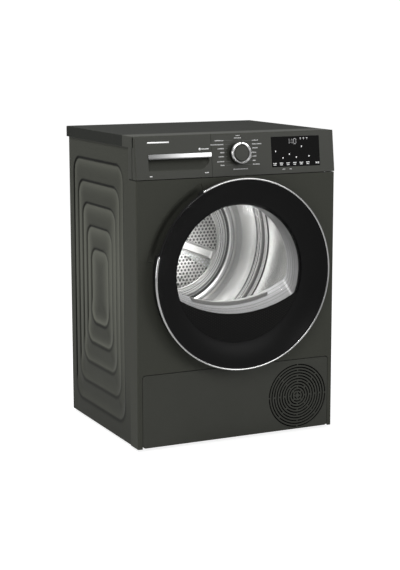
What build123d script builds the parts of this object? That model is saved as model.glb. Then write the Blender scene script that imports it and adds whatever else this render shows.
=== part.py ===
from build123d import *
from math import acos, atan2, cos, hypot, radians, sin
import os

os.makedirs("parts", exist_ok=True)

# Heat-pump clothes dryer, in millimetres. +X is the user's right, +Y runs to the back, +Z is up.
# The origin is under the middle of the machine's overall box, on the floor.
# Most sizes below are given as depths behind the front panel's face, and as heights above the floor.

# ---------------------------------------------------------------- driving dimensions
WIDTH = 597.0
HEIGHT = 846.0
DEPTH = 609.0
DOOR_PROUD = 44.0
FRONT = DOOR_PROUD - DEPTH / 2
SHEET = 1.2
WALL = 2.5
GAP = 0.3

HALF = WIDTH / 2
SIDE_FACE = 296.0
SIDE_INNER = SIDE_FACE - SHEET
RETURN_DEPTH = 50.0
CABINET_LOW = 8.0
WORKTOP_LOW = 816.0
PANEL_BACK = 501.0
DUCT_BACK = DEPTH - DOOR_PROUD

FASCIA_LOW = 733.0
FASCIA_TILT = radians(7.04)
DRAWER_SPLIT = -75.5
KNOB_X = 4.0
KNOB_Z = 792.0
KNOB_R = 29.7

DOOR_Z = 469.0
DOOR_R = 262.5
WINDOW_R = 191.0
CHIN_R = 350.0
GRIP_FROM = 118.7
GRIP_TO = 165.0
HINGE_X = 252.0
HINGE_DEPTH = -24.0

KICK_HALF = 284.0
KICK_TOP = 209.0
KICK_LOW = 9.5
KICK_AXIS_DEPTH = 10.0
KICK_AXIS_Z = 15.5
GRILLE_X = 188.2
GRILLE_Z = 105.3
GRILLE_PITCH = 8.07
GRILLE_RINGS = 11
SLOT = 3.7

DRUM_Z = 500.0
DRUM_R = 278.0
COLLAR_R = 238.0
ROLLER_R = 30.0
ROLLER_ANGLE = radians(62)

MOTOR_X = 20.0
MOTOR_Z = 120.0
PULLEY_R = 8.0
BELT_DEPTH = 300.0
BELT_WIDTH = 12.0
BELT_THICK = 2.5
IDLER_R = 15.0

FOOT_X = 250.0
FOOT_DEPTHS = (70.0, 450.0)


# ---------------------------------------------------------------- planes and small helpers
def upright(depth, x=0.0, z=0.0):
    """Upright plane facing forwards; a negative extrusion from it runs to the back."""
    return Plane(origin=(x, FRONT + depth, z), x_dir=(1, 0, 0), z_dir=(0, -1, 0))


def cross_section(x, z=0.0):
    """Side view plane: local x is the depth behind the front face, local y is up."""
    return Plane(origin=(x, FRONT, z), x_dir=(0, 1, 0), z_dir=(1, 0, 0))


def keep(piece, name):
    """Label a finished piece and write it as its own STEP file."""
    piece.part.label = name
    export_step(piece.part, f"parts/{name}.step")


def slab(x0, x1, d0, d1, z0, z1, mode=Mode.ADD):
    """Box between two corners, given across, in depth and in height."""
    with Locations(((x0 + x1) / 2, FRONT + (d0 + d1) / 2, (z0 + z1) / 2)):
        Box(x1 - x0, d1 - d0, z1 - z0, mode=mode)


def rod(x, z, radius, d0, d1, mode=Mode.ADD):
    """Round bar that runs from front to back."""
    with BuildSketch(upright(d0, x, z)) as disc:
        Circle(radius)
    extrude(disc.sketch, amount=d0 - d1, mode=mode)


def post(x, depth, radius, z0, z1, mode=Mode.ADD):
    """Round bar that stands upright."""
    with BuildSketch(Plane(origin=(x, FRONT + depth, z0))) as disc:
        Circle(radius)
    extrude(disc.sketch, amount=z1 - z0, mode=mode)


def turn(outline, x=0.0, z=0.0, mode=Mode.ADD):
    """Turn an outline of (depth, radius) points about a front-to-back axis."""
    with BuildSketch(cross_section(x, z)) as profile:
        with BuildLine():
            Polyline(*outline, close=True)
        make_face()
    revolve(profile.sketch, axis=Axis((x, FRONT, z), (0, 1, 0)), mode=mode)


def prism(outline, x0, x1, mode=Mode.ADD):
    """Carry a side-view outline of (depth, height) points from x0 to x1."""
    with BuildSketch(cross_section(x0)) as profile:
        with BuildLine():
            Polyline(*outline, close=True)
        make_face()
    extrude(profile.sketch, amount=x1 - x0, mode=mode)


def sector(inner, outer, start, end, d0, d1, z=DOOR_Z, mode=Mode.ADD):
    """Part of a flat ring between two angles in degrees, from depth d0 to depth d1."""
    reach = outer * 2
    angles = [radians(start), radians((start + end) / 2), radians(end)]
    corners = [(0, 0)] + [(reach * cos(angle), reach * sin(angle)) for angle in angles]
    with BuildSketch(upright(d0, 0, z)) as ring:
        Circle(outer)
        Circle(inner, mode=Mode.SUBTRACT)
        with BuildLine():
            Polyline(*corners, close=True)
        make_face(mode=Mode.INTERSECT)
    extrude(ring.sketch, amount=d0 - d1, mode=mode)


def porthole(depth, radius, low, corner=26.0):
    """Round opening whose lower part is closed by a flatter arc with its lowest point at low."""
    chin_z = low + CHIN_R
    meet_z = (DOOR_Z**2 - chin_z**2 - radius**2 + CHIN_R**2) / (2 * (DOOR_Z - chin_z))
    meet_x = (radius**2 - (meet_z - DOOR_Z) ** 2) ** 0.5
    with BuildSketch(upright(depth)) as outline:
        with BuildLine():
            ThreePointArc((meet_x, meet_z), (0, DOOR_Z + radius), (-meet_x, meet_z))
            ThreePointArc((-meet_x, meet_z), (0, low), (meet_x, meet_z))
        make_face()
        fillet(outline.vertices(), radius=corner)
    return outline.sketch


def porthole_tube(front, back, mode=Mode.ADD):
    """Loft between two portholes, each given as (depth, radius, lowest point)."""
    loft([porthole(*front), porthole(*back)], ruled=True, mode=mode)


# ---------------------------------------------------------------- cabinet panels
def build_side_panels():
    """Pressed sheet with five rounded steps, each one deeper than the last."""
    steps = 5
    drop = 2.3
    face = Plane(origin=(-SIDE_FACE, FRONT, 0), x_dir=(0, 1, 0), z_dir=(1, 0, 0))
    with BuildPart() as side_panel_left:
        slab(-SIDE_FACE, -SIDE_INNER, RETURN_DEPTH + 0.5, PANEL_BACK - 2, CABINET_LOW, WORKTOP_LOW)
        for extra, mode in ((SHEET, Mode.ADD), (0.0, Mode.SUBTRACT)):
            for step in range(steps):
                front = 96 + 31 * step - extra
                back = 463 - 29 * step + extra
                low = 60 + 60 * step - extra
                high = 762 - 62.5 * step + extra
                with BuildSketch(face.offset(extra + drop * step)):
                    with Locations(((front + back) / 2, (low + high) / 2)):
                        RectangleRounded(back - front, high - low, 44 - 2 * step)
                extrude(amount=drop, taper=45, mode=mode)
        slab(-SIDE_INNER, -284, PANEL_BACK - 3.2, PANEL_BACK - 2, CABINET_LOW, WORKTOP_LOW)
        slab(-SIDE_INNER, -291.5, RETURN_DEPTH + 0.5, RETURN_DEPTH + 1.7, CABINET_LOW, WORKTOP_LOW)
    with BuildPart() as side_panel_right:
        add(mirror(side_panel_left.part, about=Plane.YZ, mode=Mode.PRIVATE))
    keep(side_panel_left, "side_panel_left")
    keep(side_panel_right, "side_panel_right")


def build_front_panel():
    """Steel front with the porthole, the kick plate's opening and a pressed hollow for the fingers."""
    inner = HALF - SHEET
    top = FASCIA_LOW - 2
    recess = 11.0
    with BuildPart() as front_panel:
        slab(-HALF, HALF, 0, RETURN_DEPTH, CABINET_LOW, top)
        front_corners = front_panel.edges().filter_by(Axis.Z).group_by(Axis.Y)[0]
        fillet(front_corners, radius=4)
        slab(-inner, inner, SHEET, RETURN_DEPTH, CABINET_LOW, top - SHEET, mode=Mode.SUBTRACT)
        sector(221, 273, 113, 171, 0, recess + SHEET)
        sector(222, 272, 114, 170, 0, recess, mode=Mode.SUBTRACT)
        slab(-inner, inner, 12, RETURN_DEPTH + 1, top - 3, top + 1, mode=Mode.SUBTRACT)
        rod(0, DOOR_Z, 205, -1, 3, mode=Mode.SUBTRACT)
        with BuildSketch(upright(0)):
            RectangleRounded(2 * KICK_HALF + 2.4, 2 * (KICK_TOP + 1.8), 9)
        extrude(amount=-SHEET, mode=Mode.SUBTRACT)
        slab(-248, -226, -1, 3, DOOR_Z - 14, DOOR_Z + 14, mode=Mode.SUBTRACT)
    keep(front_panel, "front_panel")


def build_worktop():
    """Laminate-faced lid in a moulded tray, with a moulded strip in front of it."""
    with BuildPart() as worktop:
        slab(-HALF, HALF, 91.3, PANEL_BACK + 11, WORKTOP_LOW, HEIGHT)
        fillet(worktop.faces().sort_by(Axis.Z)[-1].edges(), radius=2.5)
        slab(-HALF + WALL, HALF - WALL, 91.3 + WALL, PANEL_BACK + 8.5, WORKTOP_LOW, HEIGHT - 16,
             mode=Mode.SUBTRACT)
    keep(worktop, "worktop")
    with BuildPart() as worktop_front_trim:
        slab(-HALF, HALF, 17.3, 91, WORKTOP_LOW, HEIGHT)
        fillet(worktop_front_trim.faces().sort_by(Axis.Z)[-1].edges().filter_by(Axis.Y), radius=2.5)
        slab(-HALF + WALL, HALF - WALL, 17.3 + WALL, 91 - WALL, WORKTOP_LOW, HEIGHT - WALL,
             mode=Mode.SUBTRACT)
    keep(worktop_front_trim, "worktop_front_trim")


def build_rear_panel():
    """Flat back sheet with the drum's air inlet, the blower's outlet, vent slots and the cable's hole."""
    with BuildPart() as rear_panel:
        slab(-SIDE_INNER + 0.2, SIDE_INNER - 0.2, PANEL_BACK - 1.8, PANEL_BACK - 0.6, CABINET_LOW,
             WORKTOP_LOW)
        rod(0, DRUM_Z, 196, PANEL_BACK - 5, PANEL_BACK + 5, mode=Mode.SUBTRACT)
        rod(MOTOR_X, MOTOR_Z, 60, PANEL_BACK - 5, PANEL_BACK + 5, mode=Mode.SUBTRACT)
        rod(235, 765, 10.2, PANEL_BACK - 5, PANEL_BACK + 5, mode=Mode.SUBTRACT)
        for row in range(6):
            slab(140, 240, PANEL_BACK - 5, PANEL_BACK + 5, 60 + 16 * row, 66 + 16 * row, mode=Mode.SUBTRACT)
    keep(rear_panel, "rear_panel")


def pear(depth, grow=0.0):
    """Outline of the rear duct: the hull of a circle round the drum's axis and one round the blower."""
    with BuildSketch(upright(depth)) as outline:
        with Locations((0, DRUM_Z)):
            Circle(215 + grow)
        with Locations((MOTOR_X, MOTOR_Z)):
            Circle(85 + grow)
        make_hull()
    return outline.sketch


def build_rear_duct():
    """Moulded air duct outside the back: a pear-shaped dish from the blower up to the drum."""
    face = PANEL_BACK - 0.6
    with BuildPart() as hollow:
        extrude(pear(face, -WALL), amount=face - DUCT_BACK + WALL)
        fillet(hollow.faces().sort_by(Axis.Y)[-1].edges(), radius=20)
    with BuildPart() as rear_air_duct:
        extrude(pear(face), amount=face - DUCT_BACK)
        fillet(rear_air_duct.faces().sort_by(Axis.Y)[-1].edges(), radius=22)
        extrude(pear(face, 10), amount=-3)
        add(hollow.part, mode=Mode.SUBTRACT)
    keep(rear_air_duct, "rear_air_duct")


# ---------------------------------------------------------------- fascia, display and knob
def fascia_depth(z, inset=0.0):
    """Depth of the slanted fascia's face at a height, moved back by inset."""
    return (z - FASCIA_LOW + 2) * sin(FASCIA_TILT) / cos(FASCIA_TILT) + inset / cos(FASCIA_TILT)


def fascia_plane(x, z, proud=0.0):
    """Plane on the slanted fascia at (x, z), facing the user."""
    normal = Vector(0, -cos(FASCIA_TILT), sin(FASCIA_TILT))
    origin = Vector(x, FRONT + fascia_depth(z), z) + normal * proud
    return Plane(origin=origin, x_dir=(1, 0, 0), z_dir=normal)


def fascia_outline(back, inset=0.0, low=FASCIA_LOW, high=WORKTOP_LOW):
    """Side outline of the fascia, with its face moved back by inset."""
    return [(fascia_depth(low, inset), low), (fascia_depth(high, inset), high), (back, high), (back, low)]


def fascia_brow(x0, x1):
    """The strip of the fascia that reaches up in front of the worktop trim."""
    prism([(fascia_depth(WORKTOP_LOW), WORKTOP_LOW), (fascia_depth(HEIGHT - 2), HEIGHT - 2),
           (fascia_depth(HEIGHT) + 0.8, HEIGHT), (17, HEIGHT), (17, WORKTOP_LOW)], x0, x1)


def build_control_panel():
    """Moulded fascia: slanted face, closed end at the right, and a bay for the water tank at the left."""
    back = RETURN_DEPTH
    end = DRAWER_SPLIT + WALL
    with BuildPart() as control_panel:
        prism(fascia_outline(back), DRAWER_SPLIT, HALF)
        prism(fascia_outline(back + 1, WALL, FASCIA_LOW + WALL, WORKTOP_LOW - WALL), end, HALF - WALL,
              mode=Mode.SUBTRACT)
        fascia_brow(DRAWER_SPLIT, HALF)
        slab(-HALF, WALL - HALF, 26, back, FASCIA_LOW, WORKTOP_LOW)
        slab(-HALF, DRAWER_SPLIT, 26, back, FASCIA_LOW, FASCIA_LOW + WALL)
        slab(-HALF, DRAWER_SPLIT, 26, back, WORKTOP_LOW - WALL, WORKTOP_LOW)
        with BuildSketch(fascia_plane(179.2, 791.6)):
            Rectangle(149.8, 82.4)
        extrude(amount=-20, mode=Mode.SUBTRACT)
        with BuildSketch(fascia_plane(KNOB_X, KNOB_Z)):
            Circle(5)
        extrude(amount=-10, mode=Mode.SUBTRACT)
    keep(control_panel, "control_panel")


def build_display():
    """Black glass window, flush in the fascia, and the boxed control module behind it."""
    with BuildPart() as display_window:
        with BuildSketch(fascia_plane(179.2, 791.6)):
            Rectangle(149.6, 82.2)
        extrude(amount=-WALL)
    keep(display_window, "display_window")
    with BuildPart() as control_module:
        slab(-55, 90, 20, 46, 742, 808)
        slab(90, 256, 24, 46, 742, 808)
        with BuildSketch(fascia_plane(KNOB_X, KNOB_Z)):
            Circle(4.4)
        extrude(amount=-34, mode=Mode.SUBTRACT)
        for rib in range(6):
            slab(-45 + 24 * rib, -42 + 24 * rib, 40, 47, 745, 785, mode=Mode.SUBTRACT)
    keep(control_module, "control_module")


def build_knob():
    """Programme knob: black body on a shaft, bright ring with a pointer notch, painted cap."""
    base = fascia_plane(KNOB_X, KNOB_Z)
    normal = base.z_dir
    side_view = Plane(origin=base.origin, x_dir=(1, 0, 0), z_dir=Vector(1, 0, 0).cross(normal))

    def spin(outline):
        with BuildSketch(side_view) as profile:
            with BuildLine():
                Polyline(*outline, close=True)
            make_face()
        revolve(profile.sketch, axis=Axis(base.origin, normal))

    with BuildPart() as knob_body:
        spin([(0, -22), (4, -22), (4, 0.6), (27.5, 0.6), (27.5, 14.8), (22.3, 15.2), (22.3, 18),
              (21.3, 18), (21.3, 16), (0, 16)])
    keep(knob_body, "knob_body")
    with BuildPart() as knob_ring:
        spin([(22.5, 15.4), (27.6, 15), (KNOB_R, 15), (KNOB_R, 20), (28.2, 22.5), (24.6, 23), (22.5, 20.8)])
        with BuildSketch(fascia_plane(KNOB_X, KNOB_Z, 10)):
            with Locations((0, KNOB_R - 2)):
                Rectangle(3.6, 13)
        extrude(amount=20, mode=Mode.SUBTRACT)
    keep(knob_ring, "knob_ring")
    with BuildPart() as knob_cap:
        spin([(0, 16), (21, 16), (21, 20.4), (19.8, 21.4), (0, 22)])
    keep(knob_cap, "knob_cap")


# ---------------------------------------------------------------- water tank drawer
def build_tank():
    """Drawer front with a scooped grip under a bright strip, the tank behind it and the tray it runs in."""
    left, right = -HALF, -76.5
    grip_left, grip_right = -259.5, -81.0
    strip_low, strip_high = 784.5, 798.0
    body = [(-286, 743), (-90, 780.5), (-90, 809.5), (-286, 809.5)]
    with BuildPart() as tank_front:
        prism(fascia_outline(24), left, right)
        prism(fascia_outline(25, WALL, FASCIA_LOW + WALL, WORKTOP_LOW - WALL), left + WALL, right - WALL,
              mode=Mode.SUBTRACT)
        fascia_brow(left, right)
        slab(grip_left - 2, grip_right + 2, fascia_depth(750) + 1, 24, 750, strip_low + 2)
        scoop = [(-5, 753.5), (fascia_depth(753.5, 1.5), 753.5), (19.5, 774), (22, 778), (22, strip_low),
                 (-5, strip_low)]
        prism(scoop, grip_left, grip_right, mode=Mode.SUBTRACT)
        prism([(-5, strip_low), (fascia_depth(strip_low, 1.5), strip_low),
               (fascia_depth(strip_high, 1.5), strip_high), (-5, strip_high)],
              grip_left, right, mode=Mode.SUBTRACT)
    keep(tank_front, "tank_front")
    with BuildPart() as tank_handle_trim:
        prism([(fascia_depth(strip_low, -1.4), strip_low + 0.2),
               (fascia_depth(strip_low, 1.4), strip_low + 0.2),
               (fascia_depth(strip_high, 1.4), strip_high - 0.2),
               (fascia_depth(strip_high, -1.4), strip_high - 0.2)], grip_left + 0.2, right - 0.2)
    keep(tank_handle_trim, "tank_handle_trim")
    with BuildPart() as tank_body:
        with BuildSketch(upright(24)):
            with BuildLine():
                Polyline(*body, close=True)
            make_face()
        extrude(amount=-430)
        fillet(tank_body.edges().filter_by(Axis.Y), radius=6)
        with BuildSketch(upright(26.5)) as hollow:
            with BuildLine():
                Polyline(*body, close=True)
            make_face()
            offset(amount=-WALL, kind=Kind.INTERSECTION)
        extrude(hollow.sketch, amount=-425, mode=Mode.SUBTRACT)
        slab(-205, -165, 425, 445, 800, 815, mode=Mode.SUBTRACT)
    keep(tank_body, "tank_body")
    with BuildPart() as tank_tray:
        outer = [(-290, 738), (-84, 777.3), (-84, 800), (-86, 800), (-86, 779.4), (-288, 740.8), (-288, 800),
                 (-290, 800)]
        with BuildSketch(upright(RETURN_DEPTH + 3)):
            with BuildLine():
                Polyline(*outer, close=True)
            make_face()
        extrude(amount=-430)
        slab(-288, -86, 480, 483, 776, 800)
    keep(tank_tray, "tank_tray")


# ---------------------------------------------------------------- door
def build_door():
    """Round door: dished black ring with its grip, bright rim, window pane, glass bowl, frame and hook."""
    rim_out = [(-5, 255), (-37.8, 262), (-37.8, 256.3), (-42, 255.4)]
    notches = ((226, 244.5, -20, 0), (244.5, 250, -31.5, 0), (250, 268, -34.4, 0))

    def cut_hinge_notch():
        for x0, x1, d0, d1 in notches:
            slab(x0, x1, d0, d1, DOOR_Z - 62, DOOR_Z + 62, mode=Mode.SUBTRACT)

    with BuildPart() as door_outer_ring:
        with BuildSketch(cross_section(0, DOOR_Z)) as profile:
            with BuildLine():
                Polyline((-12, WINDOW_R), (-9.5, WINDOW_R), (-9.5, 196))
                ThreePointArc((-9.5, 196), (-20.8, 226), (-35, 250.5))
                Polyline((-35, 250.5), (-34.6, 257.8), (-5, 251.5), *rim_out)
                ThreePointArc((-42, 255.4), (-24.2, 226), (-12, WINDOW_R))
            make_face()
        revolve(profile.sketch, axis=Axis((0, FRONT, DOOR_Z), (0, 1, 0)))
        cut_hinge_notch()
        sector(245, 270, GRIP_FROM + 3, GRIP_TO - 3, -30, 0, mode=Mode.SUBTRACT)
        with BuildSketch(cross_section(0, DOOR_Z)) as lip:
            with BuildLine():
                Polyline((-37.8, 256.2), (-37.8, 262), (-40.6, 261.6), (-42.6, 259.4), (-42.3, 255.6),
                         (-40, 255.6), close=True)
            make_face()
        spine = Axis((0, FRONT, DOOR_Z), (0, 1, 0))
        start = lip.sketch.rotate(spine, 90 - GRIP_FROM - 0.1)
        revolve(start, axis=spine, revolution_arc=GRIP_FROM - GRIP_TO + 0.2)
    keep(door_outer_ring, "door_outer_ring")
    with BuildPart() as door_chrome_ring:
        turn([(-38, 256.6), (-38, DOOR_R), (-41, DOOR_R), (-44, 260.6), (-44, 258.4), (-42.6, 256.6)],
             z=DOOR_Z)
        sector(240, 280, GRIP_FROM, GRIP_TO, -50, 0, mode=Mode.SUBTRACT)
    keep(door_chrome_ring, "door_chrome_ring")
    with BuildPart() as door_window:
        turn([(-13.2, 0), (-13.2, 120), (-12.6, 186), (-11.6, 190.6), (-9.6, 190.6), (-9.6, 0)], z=DOOR_Z)
    keep(door_window, "door_window")
    with BuildPart() as door_glass_bowl:
        rod(0, DOOR_Z, 194, -9.3, -6.8)
        porthole_tube((-6.8, 186, 354, 26), (42, 162, 378, 26))
        porthole_tube((-9.4, 183, 357, 24), (39, 158.5, 381.5, 24), mode=Mode.SUBTRACT)
    keep(door_glass_bowl, "door_glass_bowl")
    with BuildPart() as door_inner_frame:
        turn([(-6.6, 0), (-6.6, 247.5), (-20, 248), (-20, 250), (-3.2, 250.8), (-3.2, 0)], z=DOOR_Z)
        porthole_tube((-7, 186.6, 353.4, 26), (-3, 185.2, 354.9, 26), mode=Mode.SUBTRACT)
        cut_hinge_notch()
        sector(224, 262, GRIP_FROM, GRIP_TO, -30, 0, mode=Mode.SUBTRACT)
        sector(221.5, 224, GRIP_FROM, GRIP_TO, -17, -3.2)
    keep(door_inner_frame, "door_inner_frame")
    with BuildPart() as door_latch_hook:
        slab(-241, -232, -3.2, 20, DOOR_Z - 9, DOOR_Z + 9)
        slab(-245, -241, 14, 20, DOOR_Z - 9, DOOR_Z + 9)
        slab(-238, -232, 4, 12, DOOR_Z - 4, DOOR_Z + 4, mode=Mode.SUBTRACT)
    keep(door_latch_hook, "door_latch_hook")


def build_hinge():
    """Bracket on the front panel with two ears, a pin through them, and the door's arm between the ears."""
    def barrel(radius, z0, z1, mode=Mode.ADD):
        post(HINGE_X, HINGE_DEPTH, radius, z0, z1, mode)

    with BuildPart() as hinge_bracket:
        for low, high in ((DOOR_Z - 50, DOOR_Z - 36), (DOOR_Z + 36, DOOR_Z + 50)):
            barrel(6, low, high)
            slab(HINGE_X - 7, HINGE_X - 1, HINGE_DEPTH, -0.8, low, high)
        slab(229, HINGE_X - 1, -3, 0, DOOR_Z - 58, DOOR_Z + 58)
        barrel(3.02, DOOR_Z - 60, DOOR_Z + 60, mode=Mode.SUBTRACT)
    keep(hinge_bracket, "hinge_bracket")
    with BuildPart() as hinge_pin:
        barrel(3, DOOR_Z - 53, DOOR_Z + 53)
    keep(hinge_pin, "hinge_pin")
    with BuildPart() as hinge_arm:
        barrel(6, DOOR_Z - 35, DOOR_Z + 35)
        slab(238, HINGE_X, HINGE_DEPTH, HINGE_DEPTH + 5, DOOR_Z - 35, DOOR_Z + 35)
        slab(235, 240, HINGE_DEPTH, -7, DOOR_Z - 30, DOOR_Z + 30)
        slab(212, 240, -9.2, -6.8, DOOR_Z - 30, DOOR_Z + 30)
        barrel(3.08, DOOR_Z - 60, DOOR_Z + 60, mode=Mode.SUBTRACT)
    keep(hinge_arm, "hinge_arm")


def build_catch():
    """Latch housing behind the front panel that the door's hook snaps into."""
    with BuildPart() as door_catch:
        slab(-254, -222, 1.2, 30, DOOR_Z - 26, DOOR_Z + 26)
        slab(-248.5, -228.5, 0, 25, DOOR_Z - 12.5, DOOR_Z + 12.5, mode=Mode.SUBTRACT)
    keep(door_catch, "door_catch")


# ---------------------------------------------------------------- throat, seals and filter
def build_throat():
    """Front bulkhead: the throat behind the door, the wall that closes the drum, and the filter's pocket."""
    filter_half = 116.0
    with BuildPart() as front_bulkhead:
        rod(0, DOOR_Z, 204, 1.5, 4)
        slab(-284, 284, 14, 17, 222, 727)
        rod(0, DRUM_Z, 232, 17, 74)
        rod(0, DRUM_Z, 229, 13, 75, mode=Mode.SUBTRACT)
        rod(0, DRUM_Z, 232, 61.5, 64)
        slab(-filter_half - 3, filter_half + 3, 42.5, 64, 236, 372)
        porthole_tube((1.5, 191, 347.5, 30), (64, 189, 379, 30))
        porthole_tube((1.4, 188.5, 350, 28), (64.1, 186.5, 381.5, 28), mode=Mode.SUBTRACT)
        slab(-filter_half, filter_half, 45, 62, 240, 420, mode=Mode.SUBTRACT)
        for row in range(5):
            for column in range(7):
                x = -97.5 + 30 * column
                z = 256 + 21 * row
                slab(x, x + 15, 60, 70, z, z + 12, mode=Mode.SUBTRACT)
        slab(-260, -214, 13, 40, DOOR_Z - 28, DOOR_Z + 28, mode=Mode.SUBTRACT)
        slab(GRILLE_X - 80, GRILLE_X + 80, 10, 20, 215, 224, mode=Mode.SUBTRACT)
    keep(front_bulkhead, "front_bulkhead")
    with BuildPart() as door_seal:
        turn([(1.5, 194), (-1.4, 195.5), (-2.9, 198.5), (-1.4, 201.5), (1.5, 203)], z=DOOR_Z)
    keep(door_seal, "door_seal")
    return filter_half


def build_filter(filter_half):
    """Lint filter: a flat frame with a curved lip on top and windows for its fine mesh."""
    half = filter_half - 1
    front, back = 46.0, 60.6
    with BuildPart() as lint_filter_frame:
        with BuildSketch(upright(front)):
            with Locations((0, 322)):
                Rectangle(2 * half, 160)
            with Locations((0, 381.5 + CHIN_R)):
                Circle(CHIN_R, mode=Mode.SUBTRACT)
        extrude(amount=front - back)
        slab(-half + 6, half - 6, front - 1, back + 1, 250, 366, mode=Mode.SUBTRACT)
        for column in (-1, 0, 1):
            slab(column * 55 - 2, column * 55 + 2, front + 2, back - 2, 249, 367)
    keep(lint_filter_frame, "lint_filter_frame")


# ---------------------------------------------------------------- drum
def build_drum():
    """Steel drum: shell with a front collar, rear wall with its shaft, perforated grille, three lifters."""
    first_spoke = -21
    rear_front = [(424, 275.4), (430.5, 275.4), (437, 272), (439.4, 265), (439.4, 238), (434.8, 204),
                  (439.8, 196), (439.8, 184), (434.8, 178.6), (427.6, 170.6), (427.6, 157)]
    rear_back = [(428.8, 157), (428.8, 170), (436, 178), (441, 183.4), (441, 196.6), (436.2, 204.2),
                 (440.6, 238), (440.6, 266), (438, 273.2), (431, 276.6), (424, 276.6)]
    with BuildPart() as drum_shell:
        turn([(66, COLLAR_R), (86, COLLAR_R), (100, DRUM_R), (440, DRUM_R), (440, 276.8),
              (100.5, 276.8), (86.5, 236.8), (66, 236.8)], z=DRUM_Z)
    keep(drum_shell, "drum_shell")
    with BuildPart() as drum_rear_wall:
        turn(rear_front + rear_back, z=DRUM_Z)
        with BuildSketch(upright(430, 0, DRUM_Z)):
            with PolarLocations(96.5, 3, start_angle=first_spoke):
                Rectangle(153, 34)
            Circle(34)
        extrude(amount=-4)
        rod(0, DRUM_Z, 34, 434, 446)
        rod(0, DRUM_Z, 12.5, 446, 488)
        rod(0, DRUM_Z, 17, 488, 492)
    keep(drum_rear_wall, "drum_rear_wall")
    with BuildPart() as drum_rear_grille:
        with BuildSketch(upright(428.9, 0, DRUM_Z)):
            Circle(156.6)
            with HexLocations(9.5, 17, 19):
                Circle(4.8, mode=Mode.SUBTRACT)
        extrude(amount=-1)
        with BuildSketch(upright(428.9, 0, DRUM_Z)):
            Circle(156.6)
            Circle(147, mode=Mode.SUBTRACT)
            Circle(30)
            with PolarLocations(75, 3, start_angle=first_spoke):
                Rectangle(150, 30)
        extrude(amount=-1)
        with BuildSketch(upright(428.9, 0, DRUM_Z)):
            with PolarLocations(82, 3, start_angle=first_spoke):
                Rectangle(104, 20)
        extrude(amount=5, taper=30)
    keep(drum_rear_grille, "drum_rear_grille")
    with BuildPart() as drum_lifters:
        with BuildSketch(upright(120, 0, DRUM_Z)):
            with PolarLocations(250, 3, start_angle=60):
                Trapezoid(66, 48, 66, rotation=90)
        extrude(amount=-270)
        rod(0, DRUM_Z, 276.5, 100, 410, mode=Mode.INTERSECT)
    keep(drum_lifters, "drum_lifters")


def build_drum_supports():
    """Rollers and axles under the collar, bearing and bulkhead behind the drum, a felt seal at each end."""
    reach = COLLAR_R + GAP + ROLLER_R
    across = reach * cos(ROLLER_ANGLE)
    z = DRUM_Z - reach * sin(ROLLER_ANGLE)
    for x, name in ((-across, "drum_roller_left"), (across, "drum_roller_right")):
        with BuildPart() as drum_roller:
            rod(x, z, ROLLER_R, 66.8, 82)
            rod(x, z, 5.08, 60, 90, mode=Mode.SUBTRACT)
        keep(drum_roller, name)
    with BuildPart() as roller_axles:
        for x in (-across, across):
            rod(x, z, 5, 17, 85)
            rod(x, z, 6.5, 17, 66.2)
            rod(x, z, 8, 82.6, 85)
    keep(roller_axles, "roller_axles")
    with BuildPart() as rear_bulkhead:
        turn([(448, 205), (448, 262), (499, 262), (499, 259.5), (450, 259.5), (450, 205)], z=DRUM_Z)
        with BuildSketch(upright(466, 0, DRUM_Z)):
            with PolarLocations(140, 3, start_angle=90):
                Rectangle(241, 30)
            Circle(40)
        extrude(amount=-10)
        rod(0, DRUM_Z, 24, 460, 490, mode=Mode.SUBTRACT)
    keep(rear_bulkhead, "rear_bulkhead")
    with BuildPart() as drum_bearing:
        turn([(464, 12.56), (464, 24), (480, 24), (480, 12.56)], z=DRUM_Z)
    keep(drum_bearing, "drum_bearing")
    with BuildPart() as drum_seals:
        turn([(66, 232), (66, 236.4), (74, 236.4), (74, 232)], z=DRUM_Z)
        turn([(441.6, 210), (441.6, 236), (448, 236), (448, 210)], z=DRUM_Z)
    keep(drum_seals, "drum_seals")


# ---------------------------------------------------------------- drive
def belt_side(side):
    """Tangent points of one side of the belt on the drum and on the motor pulley, in the upright plane."""
    across = MOTOR_X
    down = MOTOR_Z - DRUM_Z
    span = hypot(across, down)
    lean = acos((DRUM_R - PULLEY_R) / span)
    angle = atan2(down, across) + side * lean
    return angle, (cos(angle), sin(angle))


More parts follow.
